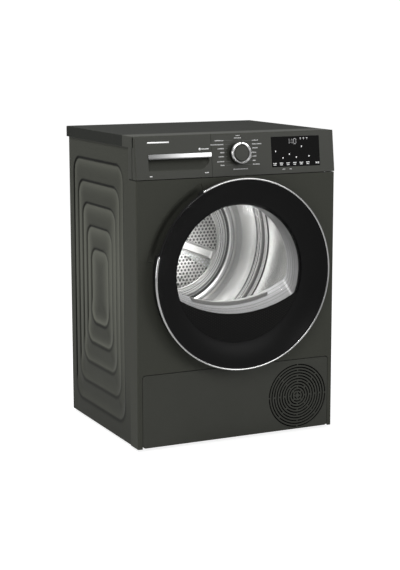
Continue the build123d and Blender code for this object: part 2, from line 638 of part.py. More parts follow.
def build_drive():
    """Motor with pulley and blower wheel on one shaft, belt, sprung idler, and the mount that holds them."""
    front = BELT_DEPTH
    back = BELT_DEPTH + BELT_WIDTH
    half_belt = BELT_THICK / 2
    with BuildPart() as drum_belt:
        for lift, mode in ((GAP + BELT_THICK, Mode.ADD), (GAP, Mode.SUBTRACT)):
            with BuildSketch(upright(front)) as loop:
                with Locations((0, DRUM_Z)):
                    Circle(DRUM_R + lift)
                with Locations((MOTOR_X, MOTOR_Z)):
                    Circle(PULLEY_R + lift)
                make_hull()
            extrude(loop.sketch, amount=front - back, mode=mode)
    keep(drum_belt, "drum_belt")

    angle, (nx, nz) = belt_side(-1)
    along = 85.0
    reach = PULLEY_R + 2 * GAP + BELT_THICK + IDLER_R
    tx, tz = -nz, nx
    if tz < 0:
        tx, tz = -tx, -tz
    idler_x = MOTOR_X + reach * nx + along * tx
    idler_z = MOTOR_Z + reach * nz + along * tz
    pivot_x, pivot_z = MOTOR_X - 75.0, MOTOR_Z - 25.0
    with BuildPart() as idler_pulley:
        rod(idler_x, idler_z, IDLER_R, front - 1, back + 1)
        rod(idler_x, idler_z, 4.08, front - 5, back + 5, mode=Mode.SUBTRACT)
    keep(idler_pulley, "idler_pulley")
    with BuildPart() as idler_arm:
        with BuildSketch(upright(back + 3)):
            with Locations((idler_x, idler_z)):
                Circle(9)
            with Locations((pivot_x, pivot_z)):
                Circle(11)
            make_hull()
            with Locations((pivot_x, pivot_z)):
                Circle(4.08, mode=Mode.SUBTRACT)
        extrude(amount=-4)
        rod(idler_x, idler_z, 4, front - 3, back + 3)
        rod(idler_x, idler_z, 7, front - 3, front - 1.5)
    keep(idler_arm, "idler_arm")
    with BuildPart() as motor_mount:
        slab(pivot_x - 14, MOTOR_X + 62, back + 8, back + 11, 13, 78)
        slab(pivot_x - 14, pivot_x + 14, back + 8, back + 11, 13, pivot_z + 14)
        rod(MOTOR_X, MOTOR_Z, 62, back + 8, back + 11)
        rod(MOTOR_X, MOTOR_Z, 16, back, back + 20, mode=Mode.SUBTRACT)
        rod(pivot_x, pivot_z, 4, back + 2, back + 8)
        slab(pivot_x - 14, MOTOR_X + 62, back + 11, back + 100, 13, 16)
        slab(MOTOR_X - 50, MOTOR_X + 50, back + 97, back + 100, 13, 90)
        rod(MOTOR_X, MOTOR_Z, 52, back + 90, back + 100, mode=Mode.SUBTRACT)
        slab(MOTOR_X - 66, MOTOR_X + 66, back + 97, 480, 13, 16)
        slab(MOTOR_X - 66, MOTOR_X + 66, 460, 480, 13, 62)
        turn([(421, 60), (421, 70), (499, 70), (499, 67), (424, 67), (424, 60)], MOTOR_X, MOTOR_Z)
        rod(MOTOR_X, MOTOR_Z, 67, 424, 500, mode=Mode.SUBTRACT)
    keep(motor_mount, "motor_mount")
    with BuildPart() as drive_motor:
        rod(MOTOR_X, MOTOR_Z, 50, back + 11, 418)
        rod(MOTOR_X, MOTOR_Z, 7.1, back, 430, mode=Mode.SUBTRACT)
        with BuildSketch(upright(back + 20, MOTOR_X, MOTOR_Z)):
            with PolarLocations(49, 12):
                Rectangle(6, 5)
        extrude(amount=-60, mode=Mode.SUBTRACT)
    keep(drive_motor, "drive_motor")
    with BuildPart() as motor_shaft:
        rod(MOTOR_X, MOTOR_Z, 7, back, 470)
        rod(MOTOR_X, MOTOR_Z, PULLEY_R, front - 2, back)
        rod(MOTOR_X, MOTOR_Z, 11, front - 3.5, front - 1.5)
    keep(motor_shaft, "motor_shaft")
    with BuildPart() as blower_wheel:
        turn([(430, 7), (430, 16), (440, 16), (464, 54), (467, 54), (467, 7)], MOTOR_X, MOTOR_Z)
        with BuildSketch(upright(467, MOTOR_X, MOTOR_Z)):
            with PolarLocations(42, 24):
                Rectangle(22, 2)
        extrude(amount=30)
        turn([(434, 50), (434, 54), (437, 54), (437, 50)], MOTOR_X, MOTOR_Z)
    keep(blower_wheel, "blower_wheel")


# ---------------------------------------------------------------- base and heat pump
def build_base():
    """Moulded base tray with walls, bosses for the feet, ears for the flap, and the four screw feet."""
    with BuildPart() as base_tray:
        slab(-291, 291, 32, 496, 10, 13)
        slab(-291, 291, 32, 496, 13, 44)
        slab(-288, 288, 35, 493, 13, 45, mode=Mode.SUBTRACT)
        slab(-264, -40.5, 54, 284, 13, 204)
        slab(-261.5, -43, 53, 285, 13, 201.5, mode=Mode.SUBTRACT)
        slab(GRILLE_X - 90, GRILLE_X + 90, 30, 36, 13, 46, mode=Mode.SUBTRACT)
        for x in (-FOOT_X, FOOT_X):
            for depth in FOOT_DEPTHS:
                post(x, depth, 13, 10, 40)
                post(x, depth, 5.06, 0, 50, mode=Mode.SUBTRACT)
        for side in (-1, 1):
            near, far = sorted((side * (KICK_HALF + 1), side * 291))
            slab(near, far, 2, 35, 10, 24)
            with BuildSketch(Plane(origin=(near, FRONT + KICK_AXIS_DEPTH, KICK_AXIS_Z), z_dir=(1, 0, 0))):
                Circle(2.58)
            extrude(amount=far - near, mode=Mode.SUBTRACT)
    keep(base_tray, "base_tray")
    for places, name in (((-FOOT_X,), "foot_front_left"), ((FOOT_X,), "foot_front_right"),
                         ((-FOOT_X, FOOT_X), "rear_feet")):
        depth = FOOT_DEPTHS[1] if name == "rear_feet" else FOOT_DEPTHS[0]
        with BuildPart() as foot:
            for x in places:
                post(x, depth, 17, 0, 6)
                post(x, depth, 9, 6, 9)
                post(x, depth, 5, 9, 46)
            fillet(foot.faces().sort_by(Axis.Z)[:len(places)].edges(), radius=2)
        keep(foot, name)


def build_heat_pump():
    """Evaporator and condenser in the left air path, their cover with two latches, and the compressor."""
    with BuildPart() as heat_exchangers:
        for d0, d1 in ((64, 146), (160, 270)):
            slab(-252, -52, d0, d1, 50, 194)
            for fin in range(19):
                slab(-245 + 10 * fin, -238 + 10 * fin, d0 - 1, d1 + 1, 56, 195, mode=Mode.SUBTRACT)
            for row in range(3):
                for column in range(3):
                    depth = d0 + 14 + (d1 - d0 - 28) * column / 2
                    with BuildSketch(Plane(origin=(-258, FRONT + depth, 80 + 42 * row), z_dir=(1, 0, 0))):
                        Circle(5)
                    extrude(amount=212)
            slab(-232, -52, d0, d1, 13, 50.5)
            slab(-226, -58, d0 + 6, d1 - 6, 12, 44, mode=Mode.SUBTRACT)
    keep(heat_exchangers, "heat_exchangers")
    with BuildPart() as evaporator_cover:
        slab(-264, -40.5, 49.5, 53.5, 46, 204)
        slab(-180, -120, 44, 49.5, 120, 126)
        for x in (-236, -68):
            rod(x, 180, 6.08, 40, 60, mode=Mode.SUBTRACT)
    keep(evaporator_cover, "evaporator_cover")
    for x, name in ((-236, "cover_latch_left"), (-68, "cover_latch_right")):
        with BuildPart() as cover_latch:
            rod(x, 180, 6, 44, 56.5)
            rod(x, 180, 14, 43, 49)
            slab(x - 4, x + 4, 36, 43, 167, 193)
        keep(cover_latch, name)
    with BuildPart() as compressor:
        post(190, 190, 58, 34, 186)
        fillet(compressor.edges().filter_by(GeomType.CIRCLE), radius=22)
        post(190, 190, 9, 184, 196)
        for turn_angle in range(3):
            angle = radians(90 + 120 * turn_angle)
            post(190 + 56 * cos(angle), 190 + 56 * sin(angle), 12, 13, 40)
    keep(compressor, "compressor")


def build_cooling():
    """Cooling fan behind the round grille: shroud with four struts, and the fan that turns in it."""
    with BuildPart() as fan_shroud:
        turn([(30, 84), (30, 88), (56.8, 88), (56.8, 84)], GRILLE_X, GRILLE_Z)
        with BuildSketch(upright(56, GRILLE_X, GRILLE_Z)):
            with PolarLocations(52, 4, start_angle=45):
                Rectangle(68, 8)
            Circle(24)
        extrude(amount=-4)
        rod(GRILLE_X, GRILLE_Z, 22, 60, 80)
        rod(GRILLE_X, GRILLE_Z, 3.06, 50, 78, mode=Mode.SUBTRACT)
        slab(GRILLE_X - 40, GRILLE_X + 40, 44, 60, 13, 26)
        rod(GRILLE_X, GRILLE_Z, 84, 29, 55.9, mode=Mode.SUBTRACT)
    keep(fan_shroud, "fan_shroud")
    with BuildPart() as cooling_fan:
        rod(GRILLE_X, GRILLE_Z, 22, 38, 54)
        rod(GRILLE_X, GRILLE_Z, 3, 54, 76)
        with BuildSketch(upright(52, GRILLE_X, GRILLE_Z)):
            with PolarLocations(50, 7):
                Rectangle(60, 26)
        extrude(amount=4)
    keep(cooling_fan, "cooling_fan")


# ---------------------------------------------------------------- kick plate and small fittings
def build_kick_plate():
    """Flap along the bottom, with a round grille of slots, a top lip and two hinge pins."""
    with BuildPart() as kick_plate:
        with BuildSketch(upright(0)):
            with Locations((0, (KICK_TOP + KICK_LOW) / 2)):
                RectangleRounded(2 * KICK_HALF, KICK_TOP - KICK_LOW, 8)
        extrude(amount=-WALL)
        with BuildSketch(upright(0)):
            with Locations((0, (KICK_TOP + KICK_LOW) / 2)):
                RectangleRounded(2 * KICK_HALF, KICK_TOP - KICK_LOW, 8)
                RectangleRounded(2 * KICK_HALF - 5, KICK_TOP - KICK_LOW - 5, 5.5, mode=Mode.SUBTRACT)
        extrude(amount=-14)
        for ring in range(1, GRILLE_RINGS + 1):
            radius = GRILLE_PITCH * ring
            with BuildSketch(upright(0, GRILLE_X, GRILLE_Z)):
                Circle(radius + SLOT / 2)
                Circle(radius - SLOT / 2, mode=Mode.SUBTRACT)
                with PolarLocations(radius, 4, start_angle=0 if ring % 2 else 45):
                    Rectangle(SLOT + 1.5, 3.6, mode=Mode.SUBTRACT)
            extrude(amount=-WALL, mode=Mode.SUBTRACT)
        for side in (-1, 1):
            near, far = sorted((side * (KICK_HALF - 3), side * 290.5))
            with BuildSketch(Plane(origin=(near, FRONT + KICK_AXIS_DEPTH, KICK_AXIS_Z), z_dir=(1, 0, 0))):
                Circle(2.5)
            extrude(amount=far - near)
    keep(kick_plate, "kick_plate")


def build_mains_inlet():
    """Gland in the back sheet that the supply cable comes through."""
    face = PANEL_BACK - 0.6
    with BuildPart() as mains_inlet:
        turn([(494, 4.5), (494, 14), (face - SHEET, 14), (face - SHEET, 10), (face, 10), (face, 15),
              (506, 15), (514, 8), (514, 4.5)], 235, 765)
    keep(mains_inlet, "mains_inlet")


build_side_panels()
build_front_panel()
build_worktop()
build_rear_panel()
build_rear_duct()
build_control_panel()
build_display()
build_knob()
build_tank()
build_door()
build_hinge()
build_catch()
build_filter(build_throat())
build_drum()
build_drum_supports()
build_drive()
build_base()
build_heat_pump()
build_cooling()
build_kick_plate()
build_mains_inlet()
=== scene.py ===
# %% [markdown]
# A heat-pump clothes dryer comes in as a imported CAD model: sixty solids on seventeen moving bodies.
# This file gives it its looks. The CAD solids are the frame, so nothing here moves them: a piece either gets
# a finish, or a finer surface takes its place where a pressed, moulded or turned shape wants more than
# flat cuts.

# %% Load the frame
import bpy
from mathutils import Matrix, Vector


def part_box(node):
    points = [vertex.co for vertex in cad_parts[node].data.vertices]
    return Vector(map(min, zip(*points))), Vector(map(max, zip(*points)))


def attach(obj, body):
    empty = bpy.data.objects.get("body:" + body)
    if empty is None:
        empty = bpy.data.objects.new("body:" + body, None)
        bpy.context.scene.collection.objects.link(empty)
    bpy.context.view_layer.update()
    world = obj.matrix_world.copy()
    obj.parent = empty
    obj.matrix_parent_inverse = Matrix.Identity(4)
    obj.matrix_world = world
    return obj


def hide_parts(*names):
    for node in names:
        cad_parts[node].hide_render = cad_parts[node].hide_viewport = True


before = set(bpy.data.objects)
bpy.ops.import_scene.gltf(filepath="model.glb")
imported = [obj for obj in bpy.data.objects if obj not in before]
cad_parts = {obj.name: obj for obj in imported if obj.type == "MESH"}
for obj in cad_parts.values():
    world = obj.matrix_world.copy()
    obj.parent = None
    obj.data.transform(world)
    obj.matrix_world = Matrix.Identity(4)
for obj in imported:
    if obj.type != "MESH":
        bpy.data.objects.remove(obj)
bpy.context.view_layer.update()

# %% [markdown]
# Every place is worked out from the CAD nodes. Depths are counted back from the front panel's face, in
# millimetres, because that is how sheet-metal drawings of such a cabinet are dimensioned.

# %% Driving places, read from the frame
from math import cos, pi, radians, sin, tan
import bmesh
import bpy
import numpy as np
from mathutils import Euler, Vector

MM = 0.001
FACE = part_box("front_panel")[0].y
FASCIA_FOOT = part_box("front_panel")[1].z / MM
TILT = radians(7.04)
ring_low, ring_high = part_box("door_chrome_ring")
DOOR_Z = (ring_low.z + ring_high.z) / 2 / MM
DOOR_R = (ring_high.z - ring_low.z) / 2 / MM
drum_low, drum_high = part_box("drum_shell")
DRUM_Z = (drum_low.z + drum_high.z) / 2 / MM
DRUM_R = (drum_high.z - drum_low.z) / 2 / MM
GRIP_FROM, GRIP_TO = 118.7, 165.0


def at(x, depth, z):
    """Millimetres across, behind the front face and above the floor, as an array of points in metres."""
    x, depth, z = np.broadcast_arrays(x, depth, z)
    return np.stack([x * MM, FACE + depth * MM, z * MM], axis=-1)


print("door centre", round(DOOR_Z, 1), "radius", round(DOOR_R, 1), "drum centre", round(DRUM_Z, 1))

# %% [markdown]
# A camera at chest height to the left, about four metres off, with a long lens: three faces of the cabinet
# show, and upright edges stay almost parallel. That is the usual way a large appliance is shown.

# %% Camera
camera_data = bpy.data.cameras.new("camera")
camera_data.lens = 91.7
camera_data.sensor_width = 36
camera = bpy.data.objects.new("camera", camera_data)
camera.location = (-1.763, -3.7275, 1.116)
camera.rotation_euler = Euler((radians(90 - 9.93), radians(0.10), radians(-25.45)))
bpy.context.collection.objects.link(camera)
bpy.context.scene.camera = camera
bpy.context.scene.view_settings.view_transform = "Standard"

# %% [markdown]
# The studio is a white sweep under broad soft lights. A dark satin cabinet shows its form by slow gradients,
# so the lights are large. Two small lamps inside the drum stand in for the real machine's drum light.

# %% Floor, lights and sky
floor_mesh = bpy.data.meshes.new("floor")
floor_mesh.from_pydata([(-60, -60, 0), (60, -60, 0), (60, 60, 0), (-60, 60, 0)], [], [(0, 1, 2, 3)])
floor = bpy.data.objects.new("floor", floor_mesh)
bpy.context.collection.objects.link(floor)


def soft_light(name, place, target, size, power):
    """Square area light at a place, turned to face its target."""
    data = bpy.data.lights.new(name, "AREA")
    data.size = size
    data.energy = power
    light = bpy.data.objects.new(name, data)
    light.location = place
    light.rotation_euler = (Vector(target) - Vector(place)).to_track_quat("-Z", "Y").to_euler()
    bpy.context.collection.objects.link(light)
    return light


soft_light("key_light", (-1.2, -2.6, 2.6), (0, 0, 0.45), 1.4, 18)
soft_light("front_fill", (1.6, -3.4, 1.5), (0, 0, 0.45), 1.6, 26)
soft_light("left_fill", (-3.4, 0.6, 0.9), (-0.3, 0, 0.45), 1.6, 16)
soft_light("high_left", (-1.0, -0.15, 2.9), (-0.3, 0, 0.35), 0.35, 40)
soft_light("drum_lamp", (0.05, FACE + 0.13, 0.70), (-0.02, FACE + 0.40, 0.35), 0.12, 1.9)
soft_light("drum_glow", (0.12, FACE + 0.16, 0.42), (-0.15, FACE + 0.40, 0.60), 0.10, 0.6)
world = bpy.data.worlds.new("studio")
world.use_nodes = True
bpy.context.scene.world = world

# %% [markdown]
# Finishes are built from nodes, but written as sums. `Wire` wraps a socket, so that `grain * 0.2 + 0.4` adds
# the Math nodes itself, and `Finish` starts a material and feeds its shader. The sky and the floor come
# first. They look white to the camera but shine only faintly on the cabinet, or its dark paint would turn
# pale, and Light Path's Is Camera Ray tells the two apart. Only this stage uses it, and no part of the dryer.

# %% Shader arithmetic
class Wire:
    """An output socket that can stand in an arithmetic expression."""

    def __init__(self, tree, socket):
        self.tree = tree
        self.socket = socket

    def math(self, operation, *others, flip=False):
        node = self.tree.nodes.new("ShaderNodeMath")
        node.operation = operation
        values = [self, *others]
        if flip:
            values.reverse()
        for port, value in zip(node.inputs, values):
            join(self.tree, port, value)
        return Wire(self.tree, node.outputs[0])

    def __add__(self, other):
        return self.math("ADD", other)

    def __sub__(self, other):
        return self.math("SUBTRACT", other)

    def __rsub__(self, other):
        return self.math("SUBTRACT", other, flip=True)

    def __mul__(self, other):
        return self.math("MULTIPLY", other)

    def __truediv__(self, other):
        return self.math("DIVIDE", other)

    __radd__ = __add__
    __rmul__ = __mul__

    def rises(self, low, high):
        """0 below low, 1 above high, with a soft start and end between them."""
        node = self.tree.nodes.new("ShaderNodeMapRange")
        node.interpolation_type = "SMOOTHSTEP"
        join(self.tree, node.inputs["Value"], self)
        join(self.tree, node.inputs["From Min"], low)
        join(self.tree, node.inputs["From Max"], high)
        return Wire(self.tree, node.outputs[0])


def join(tree, port, value):
    """Link a wire to a port, or set the port's own value."""
    if isinstance(value, Wire):
        tree.links.new(value.socket, port)
    elif value is not None:
        port.default_value = value


class Finish:
    """A material whose Principled shader is fed one socket at a time."""

    def __init__(self, name, tree=None, **constants):
        self.material = None if tree else bpy.data.materials.new(name)
        if self.material:
            self.material.use_nodes = True
        self.tree = tree or self.material.node_tree
        self.shader = self.tree.nodes.get("Principled BSDF")
        for socket, value in constants.items():
            self.feed(socket.replace("_", " "), value)

    def feed(self, socket, value):
        join(self.tree, self.shader.inputs[socket], value)

    def add(self, kind, settings=None, output=0, **ports):
        """Add any node: its settings first, then the values or links of its sockets."""
        node = self.tree.nodes.new("ShaderNode" + kind)
        for key, value in (settings or {}).items():
            setattr(node, key, value)
        for port, value in ports.items():
            join(self.tree, node.inputs[port.replace("_", " ")], value)
        return Wire(self.tree, node.outputs[output])

    def place(self):
        return self.add("TexCoord", output="Object")

    def axes(self):
        """The place on the piece as three wires, in millimetres."""
        node = self.tree.nodes.new("ShaderNodeSeparateXYZ")
        join(self.tree, node.inputs[0], self.place())
        return [Wire(self.tree, port) / MM for port in node.outputs]

    def noise(self, scale, detail=2.0, rough=0.5):
        return self.add("TexNoise", Vector=self.place(), Scale=scale, Detail=detail, Roughness=rough)

    def tint(self, factor, first, second):
        """Colour between two colours (r, g, b), by a factor."""
        node = self.tree.nodes.new("ShaderNodeMix")
        node.data_type = "RGBA"
        join(self.tree, node.inputs["Factor"], factor)
        for port, value in zip([s for s in node.inputs if s.type == "RGBA"], (first, second)):
            join(self.tree, port, value if isinstance(value, Wire) else (*value, 1))
        return Wire(self.tree, [s for s in node.outputs if s.type == "RGBA"][0])

    def relief(self, height, distance):
        """Small relief: height 0..1, scaled to a distance in metres."""
        bump = self.add("Bump", Height=height, Distance=distance, Strength=1.0)
        self.feed("Normal", bump)


def grey(level, warmth=0.0):
    """A neutral colour, a little greener and yellower when warmth is above 0."""
    return (level * (1 + 0.2 * warmth), level * (1 + 0.25 * warmth), level * (1 - warmth))


sky = Finish("sky", tree=world.node_tree)
sky_seen = sky.add("LightPath", output="Is Camera Ray")
up = sky.add("SeparateXYZ", Vector=sky.add("TexCoord", output="Generated"), output="Z")
dome = sky.tint(up.rises(-0.3, 1.0), (0.22, 0.22, 0.225), (0.40, 0.40, 0.405))
background = world.node_tree.nodes["Background"]
join(world.node_tree, background.inputs["Color"], sky.tint(sky_seen, dome, (1.15, 1.15, 1.15)))
studio_white = Finish("studio_white", Base_Color=(0.45, 0.45, 0.45, 1), Roughness=0.95,
                      Specular_IOR_Level=0.0, Emission_Strength=0.86)
floor_seen = studio_white.add("LightPath", output="Is Camera Ray")
studio_white.feed("Emission Color", studio_white.tint(floor_seen, grey(0.06), grey(1.0)))
floor.data.materials.append(studio_white.material)

# %% [markdown]
# The cabinet's sheet steel is sprayed and baked. Baked paint is never quite flat: it has a fine orange peel,
# and tiny flakes that vary the colour from spot to spot. Both are far smaller than the panel, so the noise
# scales are counted in hundreds per metre. On the pressed sides a tone is painted as well. On the real sheet
# the dark walls and pale lands come mostly from what the satin paint mirrors, so this tone is a stand-in.

# %% Painted steel and moulded panels
ANTHRACITE = (0.063, 0.065, 0.054)


def painted(name, colour, roughness=0.36, pressed=False):
    """Baked paint: flakes in the colour, cloudy gloss, and orange peel. On a pressed sheet the UV's first
    number is painted light: painted shade on steep walls below 0.5, painted highlight on lands above it."""
    finish = Finish(name, Specular_IOR_Level=0.06)
    flakes = finish.noise(2600, 1.0)
    cloud = finish.noise(7, 3.0)
    coat = finish.tint(flakes.rises(0.35, 0.7), colour, [c * 1.22 for c in colour])
    if pressed:
        tone = finish.add("SeparateXYZ", Vector=finish.add("TexCoord", output="UV"), output="X")
        # Painted shade below a tone of 0.5, painted highlight above it.
        darker = finish.tint(tone.rises(0.0, 0.5), [c * 0.1 for c in colour], coat)
        coat = finish.tint(tone.rises(0.5, 1.0), darker, [c * 2.6 for c in colour])
    finish.feed("Base Color", coat)
    finish.feed("Roughness", cloud * 0.08 + (roughness - 0.04))
    finish.relief(finish.noise(420, 2.0) + flakes * 0.15, 0.00006)
    return finish.material


def moulded(name, colour, roughness=0.45, grain=900, depth=0.00005, gloss=0.25):
    """Moulded plastic: spark-eroded grain, and a gloss that drifts slowly over the surface."""
    finish = Finish(name, Specular_IOR_Level=gloss)
    cell = finish.add("TexVoronoi", Vector=finish.place(), Scale=grain)
    drift = finish.noise(11, 3.0)
    finish.feed("Base Color", finish.tint(drift, [c * 0.93 for c in colour], [c * 1.07 for c in colour]))
    finish.feed("Roughness", drift * 0.1 + (roughness - 0.05))
    finish.relief(cell, depth)
    return finish.material


panel_paint = painted("panel_paint", ANTHRACITE)
# The side panels' paint carries painted shade and painted highlights from the pressing's UV.
side_paint_and_painted_light = painted("side_paint_and_painted_light", ANTHRACITE, pressed=True)
fascia_plastic = moulded("fascia_plastic", (0.060, 0.062, 0.052), 0.42, 1300, 0.00003)
top_laminate = moulded("top_laminate", (0.026, 0.0275, 0.0235), 0.6, 700, 0.00006, 0.15)
black_plastic = moulded("black_plastic", grey(0.016), 0.5)
dark_plastic = moulded("dark_plastic", grey(0.05), 0.55, 600)
light_plastic = moulded("light_plastic", grey(0.46, 0.03), 0.4, 1000, 0.00003)
duct_plastic = moulded("duct_plastic", grey(0.11), 0.6, 500, 0.00008)
nylon = moulded("nylon", (0.62, 0.6, 0.52), 0.4, 800)

# %% [markdown]
# The door's ring and the display are polished black. On a pale studio floor polished black would turn grey,
# so the specular level is low and a faint dusting of hairlines keeps the surface from looking like a hole.

# %% Polished black
def polished(name, level, roughness, gloss):
    finish = Finish(name, Specular_IOR_Level=gloss, Coat_Roughness=0.04)
    drift = finish.noise(5, 2.0)
    finish.feed("Base Color", finish.tint(drift, grey(level * 0.9), grey(level * 1.15)))
    finish.feed("Roughness", finish.noise(60, 4.0) * 0.06 + roughness)
    finish.relief(finish.noise(25, 1.0), 0.00004)
    return finish.material


ring_black = polished("ring_black", 0.0115, 0.32, 0.08)
display_black = polished("display_black", 0.0022, 0.10, 0.03)
knob_black = moulded("knob_black", grey(0.007), 0.3, 900, 0.00002, 0.25)

# %% [markdown]
# Bright parts are chromed plastic and stainless steel. Steel that was rolled or turned has very fine lines
# along the way it went, so the noise is stretched: short across the lines, long along them. What bright metal
# mirrors is mostly a dark room, and this studio has none, so the drum's bands and the strip's dark end are
# painted tones that stand in for it.

# %% Bright metal
def brushed(name, colour, roughness, stretch, depth=0.00002, spread=0.12):
    """Metal with fine lines: noise on coordinates scaled apart by the three stretch factors."""
    finish = Finish(name, Metallic=1.0)
    lines = finish.add("TexNoise", Vector=finish.add("Mapping", Vector=finish.place(), Scale=stretch),
                       Scale=1.0, Detail=3.0)
    cloud = finish.noise(9, 3.0)
    finish.feed("Base Color", finish.tint(lines, [c * 0.9 for c in colour], colour))
    finish.feed("Roughness", lines * spread + cloud * 0.06 + roughness)
    finish.relief(lines, depth)
    return finish.material


chrome = brushed("chrome", (0.86, 0.86, 0.85), 0.08, (300, 300, 300), 0.00001, 0.05)


def strip_finish():
    """Brushed strip: a painted reflection runs from dark at its left end to bright at its right end, and
    the colour turns near black along its lower edge.
    """
    finish = Finish("strip_metal", Metallic=1.0)
    x, depth, z = finish.axes()
    drawn = finish.add("Mapping", Vector=finish.place(), Scale=(18, 2500, 2500))
    lines = finish.add("TexNoise", Vector=drawn, Scale=1.0, Detail=3.0)
    tone = x.rises(-262, -80) * 0.85 + lines * 0.15
    edge = z.rises(785.5, 789.5)
    bright = finish.tint(tone, grey(0.09), grey(0.75))
    finish.feed("Base Color", finish.tint(edge, grey(0.05), bright))
    finish.feed("Roughness", lines * 0.12 + 0.26)
    finish.relief(lines, 0.00002)
    return finish.material


strip_metal = strip_finish()
zinc = brushed("zinc", (0.56, 0.57, 0.58), 0.34, (180, 180, 180), 0.00003, 0.2)
ground_steel = brushed("ground_steel", (0.6, 0.6, 0.6), 0.22, (900, 20, 900))
fins_metal = brushed("fins_metal", (0.72, 0.73, 0.74), 0.35, (30, 2000, 30))


def turned_steel(name, colour, roughness, lines_per_metre, reflection_bands=()):
    """Stainless sheet rolled round the drum: lines run round its axis, so they follow depth and radius.
    Each band is (along, start, end, tone), a painted reflection: between two depths or radii the steel
    turns dark and less metallic, keeping only that part of its tone."""
    finish = Finish(name, Specular_IOR_Level=0.1)
    x, depth, z = finish.axes()
    radius = finish.add("VectorMath", {"operation": "LENGTH"}, output="Value",
                        Vector=finish.add("CombineXYZ", X=x, Y=z - DRUM_Z))
    across = finish.add("CombineXYZ", X=radius, Y=depth)
    lines = finish.add("TexNoise", Vector=across, Scale=lines_per_metre * MM, Detail=4.0, Roughness=0.6)
    cloud = finish.noise(6, 3.0)
    dark = lines * 0.14
    for along, start, end, tone in reflection_bands:
        place = depth - FACE / MM if along == "depth" else radius
        soft = (end - start) * 0.3
        inside = place.rises(start, start + soft) * (1 - place.rises(end - soft, end))
        dark = dark.math("MAXIMUM", inside * (1 - tone))
    finish.feed("Metallic", 1 - dark.rises(0.3, 0.95))
    finish.feed("Base Color", finish.tint(dark, colour, grey(0.004)))
    finish.feed("Roughness", lines * 0.1 + cloud * 0.05 + roughness)
    finish.relief(lines, 0.00003)
    return finish.material


# Painted reflections: dark bands where the polished drum would mirror a dark room.
WALL_REFLECTION_BANDS = [("depth", 60, 205, 0.62), ("depth", 336, 346, 0.05), ("depth", 346, 360, 0.55),
              ("depth", 358, 388, 0.06), ("depth", 392, 399, 0.1), ("depth", 403, 407, 0.3),
              ("depth", 410, 419, 0.05), ("depth", 422, 426, 0.2), ("depth", 429, 436, 0.08)]
BACK_REFLECTION_BANDS = [("radius", 158, 161, 0.15), ("radius", 164, 167, 0.3), ("radius", 172, 183, 0.35),
              ("radius", 183, 196, 0.05), ("radius", 196, 212, 0.25), ("radius", 212, 242, 0.42)]
drum_steel = turned_steel("drum_steel", (0.84, 0.84, 0.83), 0.12, 900, WALL_REFLECTION_BANDS)
back_steel = turned_steel("back_steel", (0.80, 0.80, 0.79), 0.26, 900, BACK_REFLECTION_BANDS)
grille_steel = turned_steel("grille_steel", (0.42, 0.42, 0.41), 0.34, 500)

# %% [markdown]
# The window is clear toughened glass with a black ceramic print round the bowl. The print ends in a curve
# under the opening and breaks up into dots there. Dots on a triangle lattice come from three cosine waves at
# 60 degrees to each other: where their sum is high, there is a dot, and a rising threshold makes the dots
# shrink.

# %% Glass
CHIN_R = 350.0
CLEAR_LOW = 359.0
CLEAR_R = 190.2


def printed_glass():
    finish = Finish("printed_glass", Specular_IOR_Level=0.12, Roughness=0.03)
    x, depth, z = finish.axes()
    wave = 2 * pi / 6.2
    half, tall = 0.5 * wave, 3**0.5 / 2 * wave
    dots = ((x * wave).math("COSINE") + (x * half + z * tall).math("COSINE")
            + (x * half - z * tall).math("COSINE")) / 3
    chin = finish.add("VectorMath", {"operation": "LENGTH"}, output="Value",
                      Vector=finish.add("CombineXYZ", X=x, Y=z - (CLEAR_LOW + CHIN_R)))
    rim = finish.add("VectorMath", {"operation": "LENGTH"}, output="Value",
                     Vector=finish.add("CombineXYZ", X=x, Y=z - DOOR_Z))
    below = chin - CHIN_R
    solid = below.rises(0.0, 1.2).math("MAXIMUM", rim.rises(CLEAR_R - 1, CLEAR_R))
    fade = 1 - (x * 0.35 + z * 0.9 - (CLEAR_LOW * 0.9 - 60)).rises(-45, 75)
    speck = (dots - (0.25 + 0.6 * fade)).rises(0.0, 0.12) * below.rises(1.5, 4.0)
    finish.feed("Base Color", finish.tint(speck, grey(0.0085), grey(0.016, 0.1)))
    finish.feed("Alpha", solid * 0.93 + 0.07)
    finish.relief(speck, 0.00005)
    return finish.material


def bowl_glass():
    finish = Finish("bowl_glass", Specular_IOR_Level=0.5, Roughness=0.02)
    # Painted sheen: towards grazing angles the glass turns paler and less clear.
    painted_sheen = finish.add("LayerWeight", output="Facing", Blend=0.35)
    finish.feed("Base Color", finish.tint(painted_sheen, grey(0.12), grey(0.35)))
    finish.feed("Alpha", painted_sheen * 0.10 + 0.015)
    finish.relief(finish.noise(12, 1.0), 0.0002)
    return finish.material


def throat_moulding():
    """Pale moulding whose colour drops in narrow rings at a few depths: painted shade of fine grooves."""
    finish = Finish("throat_plastic", Roughness=0.35)
    x, depth, z = finish.axes()
    place = depth - FACE / MM
    dark = place.rises(20, 21) * (1 - place.rises(21.5, 22.5)) * 0.5
    for groove in (31, 44, 55):
        line = place.rises(groove - 1.5, groove) * (1 - place.rises(groove, groove + 1.5))
        dark = dark.math("MAXIMUM", line * 0.7)
    finish.feed("Base Color", finish.tint(dark + finish.noise(14, 3.0) * 0.2, grey(0.42), grey(0.05)))
    finish.relief(finish.noise(900, 1.0), 0.00003)
    return finish.material


throat_plastic = throat_moulding()
window_glass = printed_glass()
clear_bowl = bowl_glass()
rubber = moulded("rubber", grey(0.014), 0.7, 500, 0.00008, 0.25)
enamel = painted("enamel", grey(0.02), 0.3)
felt = moulded("felt", grey(0.2, 0.1), 0.95, 350, 0.0006, 0.1)
print("materials:", len(bpy.data.materials))

# %% [markdown]
# CAD nodes whose shape is already right keep it, and only get a finish.

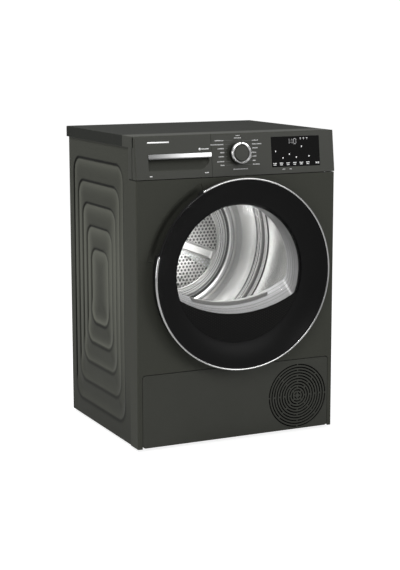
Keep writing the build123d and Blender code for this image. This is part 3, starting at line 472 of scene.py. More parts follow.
# %% Finishes for the CAD nodes
finishes = {
    panel_paint: ["front_panel"],
    top_laminate: ["worktop"],
    fascia_plastic: ["control_panel", "worktop_front_trim", "kick_plate", "knob_cap"],
    ring_black: ["door_outer_ring"],
    display_black: ["display_window"],
    knob_black: ["knob_body"],
    chrome: ["door_chrome_ring", "knob_ring"],
    strip_metal: ["tank_handle_trim"],
    window_glass: ["door_window"],
    clear_bowl: ["door_glass_bowl"],
    black_plastic: ["door_inner_frame", "door_catch", "evaporator_cover", "cover_latch_left",
                    "cover_latch_right", "cooling_fan", "fan_shroud", "mains_inlet"],
    dark_plastic: ["control_module", "tank_tray"],
    light_plastic: ["lint_filter_frame", "tank_body"],
    throat_plastic: ["front_bulkhead"],
    back_steel: ["drum_rear_wall"],
    grille_steel: ["drum_rear_grille"],
    zinc: ["rear_panel", "rear_bulkhead", "motor_mount", "hinge_bracket", "hinge_arm", "idler_arm"],
    ground_steel: ["hinge_pin", "door_latch_hook", "motor_shaft", "roller_axles", "drum_bearing"],
    duct_plastic: ["rear_air_duct", "base_tray", "blower_wheel"],
    nylon: ["idler_pulley"],
    rubber: ["door_seal", "drum_belt", "drum_roller_left", "drum_roller_right", "foot_front_left",
             "foot_front_right", "rear_feet"],
    enamel: ["drive_motor", "compressor"],
    felt: ["drum_seals"],
    fins_metal: ["heat_exchangers"],
}
for material, names in finishes.items():
    for name in names:
        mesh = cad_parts[name].data
        mesh.materials.clear()
        mesh.materials.append(material)
print("nodes with a finish:", sum(len(names) for names in finishes.values()))

# %% [markdown]
# New pieces are grids of points. One function turns a grid into a mesh: neighbours make a quad, a grid can
# close on itself in one or both directions, doubled points at a pole are merged, and if the signed volume
# comes out negative every face is turned over, so faces always point outwards.

# %% From a grid of points to a mesh
def piece_from(name, points, faces, material, body, slot, replaces=(), smooth=40):
    """Mesh object with doubles merged and faces outwards, riding on a body."""
    mesh = bpy.data.meshes.new(name)
    mesh.from_pydata(points.reshape(-1, 3).tolist(), [], faces.tolist())
    work = bmesh.new()
    work.from_mesh(mesh)
    bmesh.ops.remove_doubles(work, verts=work.verts, dist=1e-6)
    bmesh.ops.dissolve_degenerate(work, edges=work.edges, dist=1e-7)
    if work.calc_volume(signed=True) < 0:
        bmesh.ops.reverse_faces(work, faces=work.faces)
    work.to_mesh(mesh)
    work.free()
    mesh.materials.append(material)
    piece = bpy.data.objects.new(name, mesh)
    bpy.context.collection.objects.link(piece)
    mesh.shade_smooth()
    if smooth < 180:
        mesh.set_sharp_from_angle(angle=radians(smooth))
    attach(piece, body)
    if replaces:
        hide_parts(*replaces)
    return piece


def quads(rows, columns, wrap_rows=False, wrap_columns=False, start=0):
    """Corner numbers of the cells of a grid, which may close on itself."""
    index = np.arange(rows * columns).reshape(rows, columns) + start
    if wrap_rows:
        index = np.vstack([index, index[:1]])
    if wrap_columns:
        index = np.hstack([index, index[:, :1]])
    return np.stack([index[:-1, :-1], index[1:, :-1], index[1:, 1:], index[:-1, 1:]], axis=-1).reshape(-1, 4)


def thick_sheet(outer, inner):
    """Closed shell between two grids of the same size: both faces, and a strip round the rim."""
    rows, columns = outer.shape[:2]
    count = rows * columns
    index = np.arange(count).reshape(rows, columns)
    rim = np.concatenate([index[0, :-1], index[:-1, -1], index[-1, :0:-1], index[:0:-1, 0]])
    after = np.roll(rim, -1)
    strip = np.stack([rim, after, after + count, rim + count], axis=-1)
    front = quads(rows, columns)
    back = quads(rows, columns, start=count)[:, ::-1]
    points = np.concatenate([outer.reshape(-1, 3), inner.reshape(-1, 3)])
    return points, np.concatenate([front, back, strip[:, ::-1]])


def joined(parts):
    """One array of points and one of faces, from pairs of points and of faces that each count from 0."""
    points = [grid.reshape(-1, 3) for grid, cells in parts]
    starts = np.cumsum([0] + [len(rows) for rows in points[:-1]])
    faces = [cells + start for (grid, cells), start in zip(parts, starts)]
    return np.concatenate(points), np.concatenate(faces)


def tell(piece):
    print(piece.name, len(piece.data.polygons), "faces")


def eased(value, low, high):
    """Smooth step: 0 below low, 1 above high, 3t^2 - 2t^3 between."""
    t = np.clip((value - low) / (high - low), 0, 1)
    return t * t * (3 - 2 * t)


def softened(corners, radius, steps=5):
    """Closed outline whose corners are replaced by quadratic curves that start a radius away from them."""
    corners = np.array(corners, float)
    before = np.roll(corners, 1, axis=0) - corners
    after = np.roll(corners, -1, axis=0) - corners
    reach_b = np.minimum(radius / np.linalg.norm(before, axis=1), 0.45)[:, None]
    reach_a = np.minimum(radius / np.linalg.norm(after, axis=1), 0.45)[:, None]
    start, end = corners + before * reach_b, corners + after * reach_a
    t = np.linspace(0, 1, steps)[:, None, None]
    curve = start * (1 - t) ** 2 + 2 * corners * t * (1 - t) + end * t**2
    return curve.transpose(1, 0, 2).reshape(-1, 2)


def turned(outline, x, z, around):
    """A closed outline of (depth, radius) points carried once round a front-to-back axis through (x, z)."""
    angle = np.linspace(0, 2 * pi, around, endpoint=False)[:, None]
    depth, radius = np.array(outline, float).T
    points = at(x + radius * np.cos(angle), depth + 0 * angle, z + radius * np.sin(angle))
    return points, quads(*points.shape[:2], wrap_rows=True, wrap_columns=True)


# %% [markdown]
# The side walls are large thin sheets, so they are pressed with five rounded steps, one inside another, to
# stop them drumming. The die leaves a steep wall at the top and sides of each step, and a long ramp at its
# foot. The sheet is one height field: the signed distance to each rounded rectangle says how far a point has
# sunk, and the same distance sets the painted shade on the walls and the painted highlight on the lands.

# %% Pressed side panels
STEPS = 5
STEP_DROP = 2.6
PLAIN_TONE = 0.44
SHEET = 1.1


def rounded_distance(depth, z, front, back, low, high, radius):
    """How far a point lies inside a rounded rectangle: the radius less the distance to the inner box."""
    over_d = np.abs(depth - (front + back) / 2) - (back - front) / 2 + radius
    over_z = np.abs(z - (low + high) / 2) - (high - low) / 2 + radius
    outside = np.hypot(np.maximum(over_d, 0), np.maximum(over_z, 0))
    return radius - outside - np.minimum(np.maximum(over_d, over_z), 0)


def pressed_side(side, node):
    """Height field over depth and height: sinks by one step inside each rectangle, with a steep wall above
    and at the sides, a ramp at the foot, and a shallow crown that fades out inside each step. The painted
    shade and highlight of each point go into the UV's first number."""
    low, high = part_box(node)
    front = (low.y - FACE) / MM
    back = (high.y - FACE) / MM
    levels = np.linspace(low.z, high.z, 300) / MM
    z, depth = np.meshgrid(levels, np.linspace(front, back, 160), indexing="ij")
    sunk = np.zeros_like(z)
    # The tone holds painted light: below 0.5 painted shade, above it a painted highlight.
    tone = np.full_like(z, PLAIN_TONE)
    for step in range(STEPS):
        foot = 60 + 60 * step
        head = 762 - 62.5 * step
        inside = rounded_distance(depth, z, 96 + 31 * step, 463 - 29 * step, foot, head, 44 - 2 * step)
        near_foot = 1 - eased(z, foot + 34, foot + 72)
        wall = eased(inside, -2.2, 2.2)
        ramp = 1 - (1 - np.clip(inside / 36, 0, 1)) ** 2.6
        crown = 0.55 * (1 - np.exp(-np.maximum(inside - 2, 0) / 13))
        bead = 0.28 * np.exp(-((inside - 4.6) / 2.2) ** 2)
        sunk += STEP_DROP * ((wall - crown - bead) * (1 - near_foot) + ramp * near_foot)
        sunk -= STEP_DROP * 0.5 * near_foot * eased(inside, 20, 60)
        # Painted highlight on each land, painted shade on each steep wall, and near the foot a painted
        # highlight on the ramp with painted shade just outside its edge.
        land_highlight = np.exp(-np.maximum(inside - 4, 0) / 26) * eased(inside, 2, 5)
        tone += (0.34 * land_highlight - 0.5 * np.exp(-((inside + 0.6) / 3.4) ** 2)) * (1 - near_foot)
        ramp_highlight = np.exp(-np.maximum(inside - 2, 0) / 16) * eased(inside, 0, 3) * eased(inside, -2, 4)
        edge = 0.46 * ramp_highlight - 0.4 * np.exp(-((inside + 4.5) / 5) ** 2)
        tone += edge * near_foot * (0.4 + 0.14 * step)
    # Painted light over the whole panel: a paler band at mid-height and painted shade towards the bottom.
    tone = tone + 0.12 * np.exp(-((z - 470) / 150) ** 2) - 0.14 * (1 - eased(z, 20, 260))
    face = high.x / MM if side > 0 else -low.x / MM
    outer = at(side * (face - sunk), depth, z)
    inner = at(side * (face - sunk - SHEET), depth, z)
    piece = piece_from(node + "_pressing", *thick_sheet(outer, inner), side_paint_and_painted_light, "cabinet", "panel_paint",
                       [node], 180)
    layer = piece.data.uv_layers.new(name="paint_tone")
    corners = np.empty(len(piece.data.loops), dtype=np.int32)
    piece.data.loops.foreach_get("vertex_index", corners)
    spots = np.empty(len(piece.data.vertices) * 3)
    piece.data.vertices.foreach_get("co", spots)
    spots = spots.reshape(-1, 3)[corners]
    last_row, last_column = z.shape[0] - 1, z.shape[1] - 1
    row = np.rint((spots[:, 2] - low.z) / (high.z - low.z) * last_row)
    column = np.rint((spots[:, 1] - low.y) / (high.y - low.y) * last_column)
    row = np.clip(row, 0, last_row).astype(int)
    column = np.clip(column, 0, last_column).astype(int)
    values = np.stack([np.clip(tone[row, column], 0.01, 0.99), 0 * row + 0.5], axis=1)
    layer.data.foreach_set("uv", values.ravel())
    return piece


for side, node in ((-1, "side_panel_left"), (1, "side_panel_right")):
    tell(pressed_side(side, node))

# %% [markdown]
# The door's black ring is a shallow dish, from the bright rim down to the window. Between half past nine and
# eleven o'clock the rim steps back for the fingers. It is an outline turned about the door's axis, whose
# outer points move with the angle: a smooth mask is 1 in the grip and 0 elsewhere.

# %% Door ring
WINDOW_R, DISH_R = 191.0, 255.6
GRIP_BACK, GRIP_R = -33.6, 258.6


def door_ring():
    """Turned dish: inside the grip's angles the rim drops back and narrows."""
    angle = np.linspace(0, 2 * pi, 288, endpoint=False)[:, None]
    degrees_on = np.degrees(angle)
    grip = eased(degrees_on, GRIP_FROM - 0.6, GRIP_FROM + 2.2)
    grip = grip * (1 - eased(degrees_on, GRIP_TO - 2.2, GRIP_TO + 0.6))
    t = np.linspace(0, 1, 22)
    dish = np.stack([-12.0 - 30.2 * (0.32 * t + 0.68 * t**1.9), WINDOW_R + t * (DISH_R - WINDOW_R)], axis=1)
    rim = np.array([(-42.4, 256.4), (-40.9, 257.4), (-38.0, 257.8), (-37.6, 261.9), (-30, 260.4),
                    (-18, 257.4), (-5.2, 254.8), (-4.9, 251.8)])
    under = np.array([(-20, 250.8), (-34.2, 254.0), (-34.4, 250), (-20.2, 226), (-9.6, 196), (-9.6, 191.4),
                      (-10.8, 190.9)])
    depth, radius = np.concatenate([dish, rim, under]).T
    moved = grip * np.concatenate([0 * t, np.ones(len(rim)), np.zeros(len(under))])
    depth = depth * (1 - moved) + moved * np.minimum(depth, GRIP_BACK)
    radius = radius - moved * np.maximum(radius - GRIP_R, 0)
    points = at(radius * np.cos(angle), depth, DOOR_Z + radius * np.sin(angle))
    faces = quads(*points.shape[:2], wrap_rows=True, wrap_columns=True)
    return piece_from("door_ring_dish", points, faces, ring_black, "door", "black_gloss",
                      ["door_outer_ring"], 35)


tell(door_ring())


def rim_strip():
    """Bright rim: a rounded section swept from one end of the grip to the other, shrinking at each end."""
    outline = softened([(-38.2, 257.9), (-38.2, DOOR_R), (-41.2, DOOR_R), (-43.9, 260.8), (-43.9, 258.5),
                        (-42.6, 256.8)], 1.4, 5)
    centre = outline.mean(axis=0)
    turn = np.radians(np.linspace(GRIP_TO, 360 + GRIP_FROM, 320))[:, None, None]
    past = np.minimum(turn - turn[0], turn[-1] - turn) * DOOR_R
    size = np.sqrt(np.clip(1 - (1 - np.clip(past / 2.4, 0, 1)) ** 2, 1e-4, 1))
    section = centre + (outline - centre) * size
    depth, radius = section[..., 0], section[..., 1]
    turn = turn[..., 0]
    points = at(radius * np.cos(turn), depth, DOOR_Z + radius * np.sin(turn))
    rows, columns = points.shape[:2]
    caps = [np.arange(columns)[::-1], np.arange(columns) + (rows - 1) * columns]
    faces = quads(rows, columns, wrap_columns=True).tolist() + [cap.tolist() for cap in caps]
    return piece_from("door_rim_strip", points, np.array(faces, dtype=object), chrome, "door", "bright_trim",
                      ["door_chrome_ring"], 50)


tell(rim_strip())

# %% [markdown]
# The drum is one sheet of stainless steel, rolled round and seamed to a dished back. The sheet is pressed
# with beads that stiffen it, and it narrows to a collar in front. An outline turned once gives it all.

# %% Drum shell
COLLAR_R = 236.9
DRUM_SHEET = 1.2
BEADS = ((118, 10, 1.2), (205, 14, 2.0), (345, 16, 2.4), (362, 12, 1.6), (388, 14, 2.4), (398, 7, 1.2),
         (408, 8, 1.6), (418, 7, 1.2), (428, 8, 1.6))


def band(depth, centre, width, height):
    """Rounded bead: one cosine hump of a given width and height."""
    t = np.clip((depth - centre) / width, -0.5, 0.5)
    return height * 0.5 * (1 + np.cos(2 * pi * t))


def drum_shell():
    """Collar, its bend, and the beaded wall: inner and outer line of one outline, turned once."""
    depth = np.linspace(100, 439.5, 200)
    wall_r = DRUM_R - DRUM_SHEET - 0.2
    wall = np.stack([depth, wall_r - sum(band(depth, *bead) for bead in BEADS)], axis=1)
    bend = softened([(66.2, COLLAR_R), (86.5, COLLAR_R), (100, wall_r)], 5, 6)[6:12]
    inside = np.concatenate([[(66.2, COLLAR_R)], bend, wall])
    outline = np.concatenate([inside, inside[::-1] + [0, DRUM_SHEET]])
    return piece_from("drum_shell_rolled", *turned(outline, 0, DRUM_Z, 200), drum_steel, "drum",
                      "drum_steel", ["drum_shell"], 50)


tell(drum_shell())

# %% [markdown]
# Three lifters carry the laundry up the wall. Each is a moulding with a rounded crest, and its ends slope
# down to the drum. Its section is a bell curve over the drum's arc, scaled along its length.

# %% Lifters
def lifters():
    """Bell curve over the arc, times a length curve that falls to zero at both ends."""
    along, across = np.meshgrid(np.linspace(0, 1, 60), np.linspace(-1, 1, 41), indexing="ij")
    ends = eased(along, 0, 0.14) * (1 - eased(along, 0.86, 1))
    crest = 48 * ends * (0.72 * np.exp(-(across / 0.42) ** 2) + 0.28 * (1 - across**2))
    ripple = 0.8 * ends * np.cos(along * 2 * pi * 9) * np.exp(-(across / 0.3) ** 2)
    wall = DRUM_R - 3.2
    depth = 121 + 268 * along
    parts = []
    for middle in (60, 180, 300):
        turn = radians(middle) + across * 33 / wall
        outer, inner = [at(radius * np.cos(turn), depth, DRUM_Z + radius * np.sin(turn))
                        for radius in (wall - crest - ripple, wall)]
        parts.append(thick_sheet(outer, inner))
    return piece_from("drum_lifter_mouldings", *joined(parts), grille_steel, "drum", "black_plastic",
                      ["drum_lifters"], 60)


tell(lifters())

# %% [markdown]
# The water tank's drawer front is moulded with a scoop for the fingers under its bright strip. The scoop is
# wide and shallow, and its right end sweeps up. It is a height field over the slanted face of the fascia.

# %% Water tank drawer front
def fascia_depth(z):
    return (z - FASCIA_FOOT) * tan(TILT)


strip_low, strip_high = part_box("tank_handle_trim")
SCOOP_LEFT, SCOOP_RIGHT = strip_low.x / MM, strip_high.x / MM - 5
SCOOP_FOOT, SCOOP_TOP = 753.5, strip_low.z / MM - 0.3
SCOOP_DEPTH = 17


def drawer_front():
    """Depth of the face plus the scoop: deepest under the strip, running out to nothing at its foot. The
    foot rises in a curve at the right end, and past the left end the grid turns back along the side."""
    low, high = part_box("tank_front")
    x0, x1 = low.x / MM, high.x / MM
    z0, z1 = low.z / MM, high.z / MM
    columns = np.concatenate([[x0] * 6, np.linspace(x0, x1, 260)])
    back = np.concatenate([np.linspace(22.0, 4.5, 6), np.zeros(260)])
    x, z = np.meshgrid(columns, np.linspace(z0, z1, 150), indexing="ij")
    right = np.clip((x - SCOOP_RIGHT + 30) / 30, 0, 1)
    foot = SCOOP_FOOT + 31 * (1 - np.sqrt(1 - 0.999 * right**2))
    slope = np.clip((z - foot) / (SCOOP_TOP - SCOOP_FOOT), 0, 1)
    deep = SCOOP_DEPTH * slope**0.85 * (1 - eased(z, SCOOP_TOP - 0.7, SCOOP_TOP))
    deep = deep * eased(x, SCOOP_LEFT - 0.5, SCOOP_LEFT + 3) * (1 - eased(x, SCOOP_RIGHT - 6, SCOOP_RIGHT))
    strip_top = strip_high.z / MM
    seat = eased(z, SCOOP_TOP - 0.3, SCOOP_TOP) * (1 - eased(z, strip_top, strip_top + 0.4))
    seat = seat * eased(x, SCOOP_LEFT - 0.6, SCOOP_LEFT)
    round_left = 3.0 * (1 - eased(x, x0, x0 + 3.5)) ** 2
    brow = 1.2 * eased(z, z1 - 2.2, z1) ** 2
    depth = fascia_depth(z) + deep + 1.4 * seat + round_left + brow
    back = back[:, None]
    depth = np.maximum(depth, np.minimum(back + 0.35 * fascia_depth(z), 23.4) * (back > 0))
    inside = np.where(back > 0, x + 1.5, x)
    inner = at(inside, np.minimum(np.maximum(depth + 2.2, fascia_depth(z) + 2.2), 23.7), z)
    return piece_from("tank_drawer_face", *thick_sheet(at(x, depth, z), inner), fascia_plastic, "tank",
                      "fascia_plastic", ["tank_front"], 40)


tell(drawer_front())

# %% [markdown]
# Printed marks are ink a few hundredths of a millimetre thick. Each is a flat prism on the slanted fascia,
# a tenth of a millimetre thick so that it can be seen, and marks of one kind are one mesh. Words are left as
# plain short bars: what they say isn't part of the machine's shape.

# %% Printed marks
# Both white inks glow: on the display figures and keys that is the display's own light, but on the printed
# fascia and drawer marks the glow is painted light.
ink = Finish("ink", Roughness=0.6, Emission_Color=(1, 1, 1, 1), Emission_Strength=0.12)
ink.feed("Base Color", ink.tint(ink.noise(900, 2.0), grey(0.7), grey(0.85)))
ink_faint = Finish("ink_faint", Roughness=0.6)
ink_faint.feed("Base Color", ink_faint.tint(ink_faint.noise(900, 2.0), grey(0.24), grey(0.3)))
glowing_ink = Finish("glowing_ink", Emission_Strength=0.7, Roughness=0.5)
glow_spots = glowing_ink.noise(700, 1.0)
glowing_ink.feed("Base Color", glowing_ink.tint(glow_spots, grey(0.75), grey(0.85)))
glowing_ink.feed("Emission Color", glowing_ink.tint(glow_spots, grey(0.7), grey(0.85)))
marks_random = np.random.default_rng(7)


def marks(name, outlines, material, body, slot, lift=0.06, thick=0.1):
    """Prisms on the slanted fascia from closed outlines of (x, z), all with the same number of points."""
    outline = np.array(outlines, float)
    count, corners = outline.shape[:2]
    x, z = outline[..., 0], outline[..., 1]
    low = at(x, fascia_depth(z) - lift, z)
    high = at(x, fascia_depth(z) - lift - thick, z)
    points = np.stack([low, high], axis=1)
    corner = np.arange(corners)
    after = np.roll(corner, -1)
    side = np.stack([corner, after, after + corners, corner + corners], axis=-1)
    faces = []
    for start in np.arange(count) * 2 * corners:
        ends = [(corner[::-1] + start).tolist(), (corner + corners + start).tolist()]
        faces += (side + start).tolist() + ends
    mesh_faces = np.empty(len(faces), dtype=object)
    mesh_faces[:] = faces
    return piece_from(name, points, mesh_faces, material, body, slot, (), 180)


def bar(x, z, wide, high):
    """Rectangle with its middle at (x, z)."""
    left, right, low, high = x - wide / 2, x + wide / 2, z - high / 2, z + high / 2
    return [(left, low), (right, low), (right, high), (left, high)]


def word(x, z, length, high=2.3, align=0):
    """A run of letter-sized bars that fills a length, with its start, middle or end at x."""
    pitch = high * 0.82
    letters = max(2, int(length / pitch))
    start = x - length * (align + 1) / 2
    heights = high * (0.72 + 0.28 * marks_random.integers(0, 2, letters))
    middles = start + pitch * (np.arange(letters) + 0.5)
    return [bar(m, z + (h - high) / 2, pitch * 0.66, h) for m, h in zip(middles, heights)]


def disc(x, z, radius, corners=12):
    turn = np.linspace(0, 2 * pi, corners, endpoint=False)
    return np.stack([x + radius * np.cos(turn), z + radius * np.sin(turn)], axis=1)


knob_low, knob_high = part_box("knob_ring")
KNOB_X = (knob_low.x + knob_high.x) / 2 / MM
KNOB_Z = (knob_low.z + knob_high.z) / 2 / MM
left_rows = (33.5, 23, 12, 1.5, -9, -22, -32)
right_rows = (31.5, 21.5, 11, -1, -11, -22.5, -32.5)
left_words = (27, 40, 20, 12, 18, 23, 13)
right_words = (21, 29, 17.5, 13.5, 12.5, 11, 22)
dial, leaders = [], []
for side, rows, lengths in ((-1, left_rows, left_words), (1, right_rows, right_words)):
    for row, length in zip(rows, lengths):
        dial += word(KNOB_X + side * 42, KNOB_Z + row, length, 2.9, align=-side)
        bend = (30.5**2 - min(abs(row), 29) ** 2) ** 0.5 + 3
        leaders.append(bar(KNOB_X + side * (bend + 39) / 2, KNOB_Z + row, 39 - bend, 0.4))
dial += word(KNOB_X, KNOB_Z + 45.5, 13, 2.6)
dial += word(KNOB_X, KNOB_Z + 39, 23, 2.6)
dial += word(KNOB_X + 4, KNOB_Z - 43.5, 44, 2.8)
dial += word(141, 744.5, 11, 2.8)
dial += word(162, 744.5, 8, 2.8)
marks("dial_leaders", leaders, ink_faint.material, "cabinet", "fascia_plastic")
marks("fascia_marks", dial, ink.material, "cabinet", "fascia_plastic")
drawer = word(-258, 741, 8, align=-1) + word(-86, 745, 12, align=1) + word(-83, 807.5, 22, 2.6, align=1)
drawer += [bar(-229.5, 828.5, 62, 3.4)]
marks("drawer_marks", drawer, glowing_ink.material, "tank", "fascia_plastic")
marks("drawer_symbol", [disc(-110, 807.5, 3.4, 16)], ink.material, "tank", "fascia_plastic")

# %% [markdown]
# The display shows the time left in seven-segment figures, a few symbols, and a row of touch keys along its
# foot.

# %% Display figures
SEGMENTS = {"0": "abcdef", "1": "bc"}
PLACES = {"a": (0, 1, 1), "b": (0.5, 0.5, 0), "c": (0.5, -0.5, 0), "d": (0, -1, 1), "e": (-0.5, -0.5, 0),
          "f": (-0.5, 0.5, 0)}


def figure(symbol, x, z, wide=7.0, high=14.0, stroke=1.1):
    """Bars of one seven-segment figure."""
    bars = []
    for segment in SEGMENTS[symbol]:
        across, up, flat = PLACES[segment]
        size = (wide - 2 * stroke, stroke) if flat else (stroke, high / 2 - 1.6 * stroke)
        bars.append(bar(x + across * wide, z + up * high / 2, *size))
    return bars


figures = figure("1", 157, 819) + figure("1", 166, 819) + figure("0", 178, 819)
figures += [bar(164.5, 822, 0.9, 0.9), bar(164.5, 816, 0.9, 0.9)]
for x, z in ((196, 826.5), (206, 826.5), (216, 826.5)):
    figures += [bar(x, z, 3.6, 2.8), bar(x, z - 3.0, 1.4, 1.2)]
marks("display_figures", figures, ink.material, "cabinet", "display_glass", lift=0.05)
symbols = []
for x, z in ((117, 793), (139, 774.5), (159, 784), (180.5, 775.5), (220, 777), (198, 804)):
    symbols += [bar(x, z, 2.2, 4.0), bar(x + 1.5, z + 1.1, 1.3, 1.6)]
symbols += [bar(247.5, 758.5, 1.3, 5.5), bar(250.2, 758.5, 1.3, 5.5)]
symbols += [[(241, 755.8), (245.4, 758.5), (245.4, 758.5), (241, 761.2)]]
for key in range(6):
    symbols += word(114 + 20.5 * key, 761, 12, 2.6) + word(114 + 20.5 * key, 756.6, 10, 2.6)
marks("display_keys", symbols, glowing_ink.material, "cabinet", "display_glass", lift=0.05)

# %% [markdown]
# Where the door's rim steps back, the front panel is pressed in for the fingers. A deep-drawn hollow has no
# sharp edges, so a liner lies in the CAD recess: its depth is a product of eased edges over angle and radius.

# %% Finger hollow in the front panel
HOLLOW_FROM, HOLLOW_TO = 114.2, 169.8
HOLLOW_IN, HOLLOW_OUT = 222.2, 271.8


def finger_hollow():
    """Sheet over angle and radius, flush at its rim and 10 mm deep in the middle."""
    turn, radius = np.meshgrid(np.radians(np.linspace(HOLLOW_FROM, HOLLOW_TO, 120)),
                               np.linspace(HOLLOW_IN, HOLLOW_OUT, 44), indexing="ij")
    angle = np.degrees(turn)
    deep = eased(angle, HOLLOW_FROM, 121) * (1 - eased(angle, 163, HOLLOW_TO))
    deep = deep * eased(radius, HOLLOW_IN, 232) * (1 - eased(radius, 250, HOLLOW_OUT))
    outer = at(radius * np.cos(turn), 0.1 + 9.7 * deep, DOOR_Z + radius * np.sin(turn))
    return piece_from("finger_hollow", *thick_sheet(outer, outer + [0, 0.0008, 0]), panel_paint, "cabinet",
                      "panel_paint", (), 180)


tell(finger_hollow())

# %% [markdown]
# Warm air enters the drum through a perforated disc. Punched holes sit on a triangle lattice, so the disc is
# tiled with hexagons, each with a round hole. Every hexagon is the same four rings of 24 points, moved.

# %% Perforated disc
def perforated_disc():
    """Hexagon tiles with holes inside a circle, a rim, and three spokes with raised edges."""
    pitch, hole, rim = 11.6, 3.9, 152.0
    turn = np.radians(np.arange(0, 360, 15))
    hexagon = pitch / 2 / np.cos(((turn + pi / 6) % (pi / 3)) - pi / 6)
    column, row = np.meshgrid(np.arange(-18, 19), np.arange(-18, 19))
    centre = np.stack([(column + row / 2) * pitch, row * pitch * 3**0.5 / 2], axis=-1).reshape(-1, 2)
    centre = centre[np.hypot(*centre.T) < rim - 4]
    spokes = np.radians(-21 + 120 * np.arange(3))
    for spoke in spokes:
        along = centre @ [cos(spoke), sin(spoke)]
        across = centre @ [-sin(spoke), cos(spoke)]
        centre = centre[(along < 0) | (np.abs(across) > 17)]
    centre = centre[np.hypot(*centre.T) > 34]
    rings = [(hexagon, 428.9), (hexagon * 0 + hole, 428.9), (hexagon * 0 + hole, 429.8), (hexagon, 429.8)]
    tiles = np.stack([at(centre[:, :1] + radius * np.cos(turn), depth,
                         DRUM_Z + centre[:, 1:] + radius * np.sin(turn)) for radius, depth in rings], axis=1)
    cells = quads(4, 24, wrap_rows=True, wrap_columns=True)
    faces = (cells[None] + 96 * np.arange(len(centre))[:, None, None]).reshape(-1, 4)
    edge = [(428.7, 156.4), (426.8, 155.0), (427.6, 151), (426.6, 147.4), (428.7, 145)]
    hub = [(428.7, 31), (424.5, 29), (422.6, 20), (422.2, 0.5), (428.7, 0.5)]
    parts = [(tiles, faces), turned(edge, 0, DRUM_Z, 96), turned(hub, 0, DRUM_Z, 96)]
    for spoke in spokes:
        along, across = np.meshgrid(np.linspace(26, 148, 50), np.linspace(-17.5, 17.5, 36), indexing="ij")
        bead = np.exp(-((np.abs(across) - 13) / 1.8) ** 2)
        bead = bead * eased(along, 28, 34) * (1 - eased(along, 134, 140))
        end_bead = np.exp(-((along - 138) / 1.8) ** 2) * (np.abs(across) < 13)
        depth = 428.6 - 3.2 * np.maximum(bead, end_bead)
        outer = at(along * cos(spoke) - across * sin(spoke), depth,
                   DRUM_Z + along * sin(spoke) + across * cos(spoke))
        parts.append(thick_sheet(outer, outer + [0, 0.0012, 0]))
    return piece_from("drum_perforated_disc", *joined(parts), grille_steel, "drum", "drum_steel",
                      ["drum_rear_grille"], 40)


tell(perforated_disc())

# %% [markdown]
# Behind the round grille a fine dust screen keeps fluff out of the cooling fan. From outside it reads as
# black, and it rides on the flap. Its open weave is far finer than the slots, so it is a plain dished disc.

# %% Dust screen
screen_black = Finish("screen_black", Roughness=0.9, Specular_IOR_Level=0.1)
weave = screen_black.add("TexVoronoi", Vector=screen_black.place(), Scale=1400.0)
screen_black.feed("Base Color", screen_black.tint(weave, grey(0.001), grey(0.004)))


def dust_screen():
    """Thin disc behind the slots, pinched to the plate by a rim."""
    outline = [(2.7, 0.5), (2.7, 92.4), (5.2, 92.4), (5.2, 91.2), (3.5, 90.4), (3.5, 0.5)]
    low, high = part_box("cooling_fan")
    centre = (low + high) / 2 / MM
    return piece_from("grille_dust_screen", *turned(outline, centre.x, centre.z, 120), screen_black.material,
                      "kick_flap", "black_plastic", (), 30)


tell(dust_screen())

# %% [markdown]
# Screws hold the back sheet and the duct. One pan head with a cross is worked out at every place: a dome
# whose height dips where either arm of the cross passes.

# %% Screws
def screw_head(x, depth, z, radius):
    """Pan head that faces the back: a dome over radius and angle, cut by a cross."""
    turn, out = np.meshgrid(np.linspace(0, 2 * pi, 33)[:-1], np.linspace(0, 1, 9), indexing="ij")
    dome = 0.62 * radius * np.sqrt(1 - 0.98 * out**2) + 0.15
    arm = np.minimum(np.abs(out * np.cos(turn)), np.abs(out * np.sin(turn)))
    dome = dome - 0.9 * (arm < 0.13) * (out < 0.55)
    dome[:, -1] = 0
    return at(x + radius * out * np.cos(turn), depth + dome, z + radius * out * np.sin(turn))


def rear_screws(places):
    """One mesh of all the screws; each is closed by a flat foot."""
    cells = quads(32, 9, wrap_rows=True)
    parts = []
    for x, depth, z, radius in places:
        head = screw_head(x, depth, z, radius)
        foot = head.copy()
        foot[..., 1] = FACE + depth * MM
        parts += [(head, cells), (foot, cells[:, ::-1])]
    return piece_from("rear_screws", *joined(parts), zinc, "cabinet", "zinc_steel", (), 30)


back = (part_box("rear_panel")[1].y - FACE) / MM
duct_back = back + 3
places = [(side * 284, back, z, 3.8) for side in (-1, 1) for z in (30, 160, 290, 420, 550, 680, 795)]
places += [(x, back, z, 3.8) for z in (795, 22) for x in (-190, -95, 95, 190)]
for x, z, radius, turns in ((0, DRUM_Z, 220, range(-30, 211, 30)), (20, 120, 90, (-140, -90, -40))):
    places += [(x + radius * cos(turn), duct_back, z + radius * sin(turn), 3.6) for turn in np.radians(turns)]
tell(rear_screws(places))

# %% [markdown]
# The back's air duct is a thin moulding, so ribs stiffen its face: six level ones that follow its width, and
# one long upright.

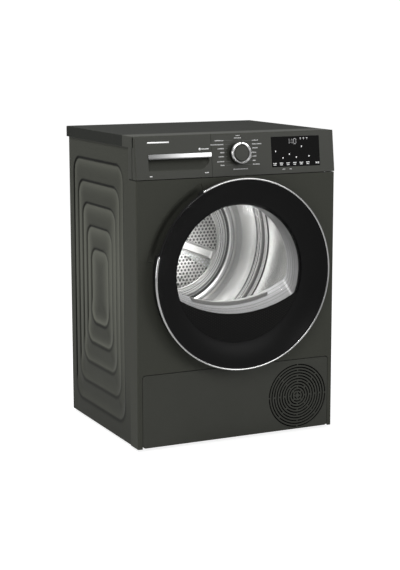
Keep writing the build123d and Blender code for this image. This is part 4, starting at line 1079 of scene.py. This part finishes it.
# %% Ribs on the rear duct
def duct_ribs():
    """Rounded bars on the duct's flat face, each a grid over length and a half-round section."""
    face = (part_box("rear_air_duct")[1].y - FACE) / MM
    runs = [((-120, 560), (120, 560)), ((-150, 500), (150, 500)), ((-128, 420), (128, 420)),
            ((-95, 330), (103, 330)), ((-60, 240), (76, 240)), ((-26, 150), (52, 150)), ((0, 640), (16, 100))]
    parts = []
    for start, end in runs:
        start, end = np.array(start, float), np.array(end, float)
        reach = end - start
        side = np.array([-reach[1], reach[0]]) / np.hypot(*reach)
        along, across = np.meshgrid(np.linspace(0, 1, 40), np.linspace(-1, 1, 13), indexing="ij")
        ends = np.sqrt(np.clip(np.minimum(along, 1 - along) * 30, 0, 1))
        height = 0.05 + 2.4 * ends * np.sqrt(np.clip(1 - across**2, 0, 1))
        x = start[0] + reach[0] * along + side[0] * across * 2.6
        z = start[1] + reach[1] * along + side[1] * across * 2.6
        parts.append(thick_sheet(at(x, face - 1.0 + height, z), at(x, face - 1.2, z)))
    return piece_from("rear_duct_ribs", *joined(parts), duct_plastic, "cabinet", "duct_plastic", (), 60)


tell(duct_ribs())

# %% [markdown]
# The lint filter's mesh is woven nylon, too fine to model thread by thread. A coarser lattice of flat ribbons
# shows what it is: threads run both ways through the frame's windows, in two layers that touch.

# %% Lint mesh
MESH_PITCH = 3.0


def lint_mesh():
    """Threads as long ribbons of four corners: upright ones in one layer, level ones in the other."""
    low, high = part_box("lint_filter_frame")
    left, right = low.x / MM + 7, high.x / MM - 7
    foot, head = 251.0, 365.0
    depth = ((low.y + high.y) / 2 - FACE) / MM
    parts = []
    for upright_run in (True, False):
        span = (foot, head) if upright_run else (left, right)
        other = (left, right) if upright_run else (foot, head)
        for place in np.arange(other[0], other[1], MESH_PITCH):
            run = np.linspace(*span, int((span[1] - span[0]) / 6) + 1)[:, None]
            edge = np.array([[-0.35, 0.35, 0.35, -0.35]])
            thick = np.array([[-0.15, -0.15, 0.15, 0.15]]) + (0.22 if upright_run else -0.22)
            if upright_run:
                grid = at(place + edge + 0 * run, depth + thick + 0 * run, run + 0 * edge)
            else:
                grid = at(run + 0 * edge, depth + thick + 0 * run, place + edge + 0 * run)
            ends = np.array([[3, 2, 1, 0], [0, 1, 2, 3] + np.int64(4 * (len(run) - 1))])
            parts.append((grid, np.concatenate([quads(*grid.shape[:2], wrap_columns=True), ends])))
    return piece_from("lint_mesh", *joined(parts), felt, "lint_filter", "felt", (), 30)


tell(lint_mesh())
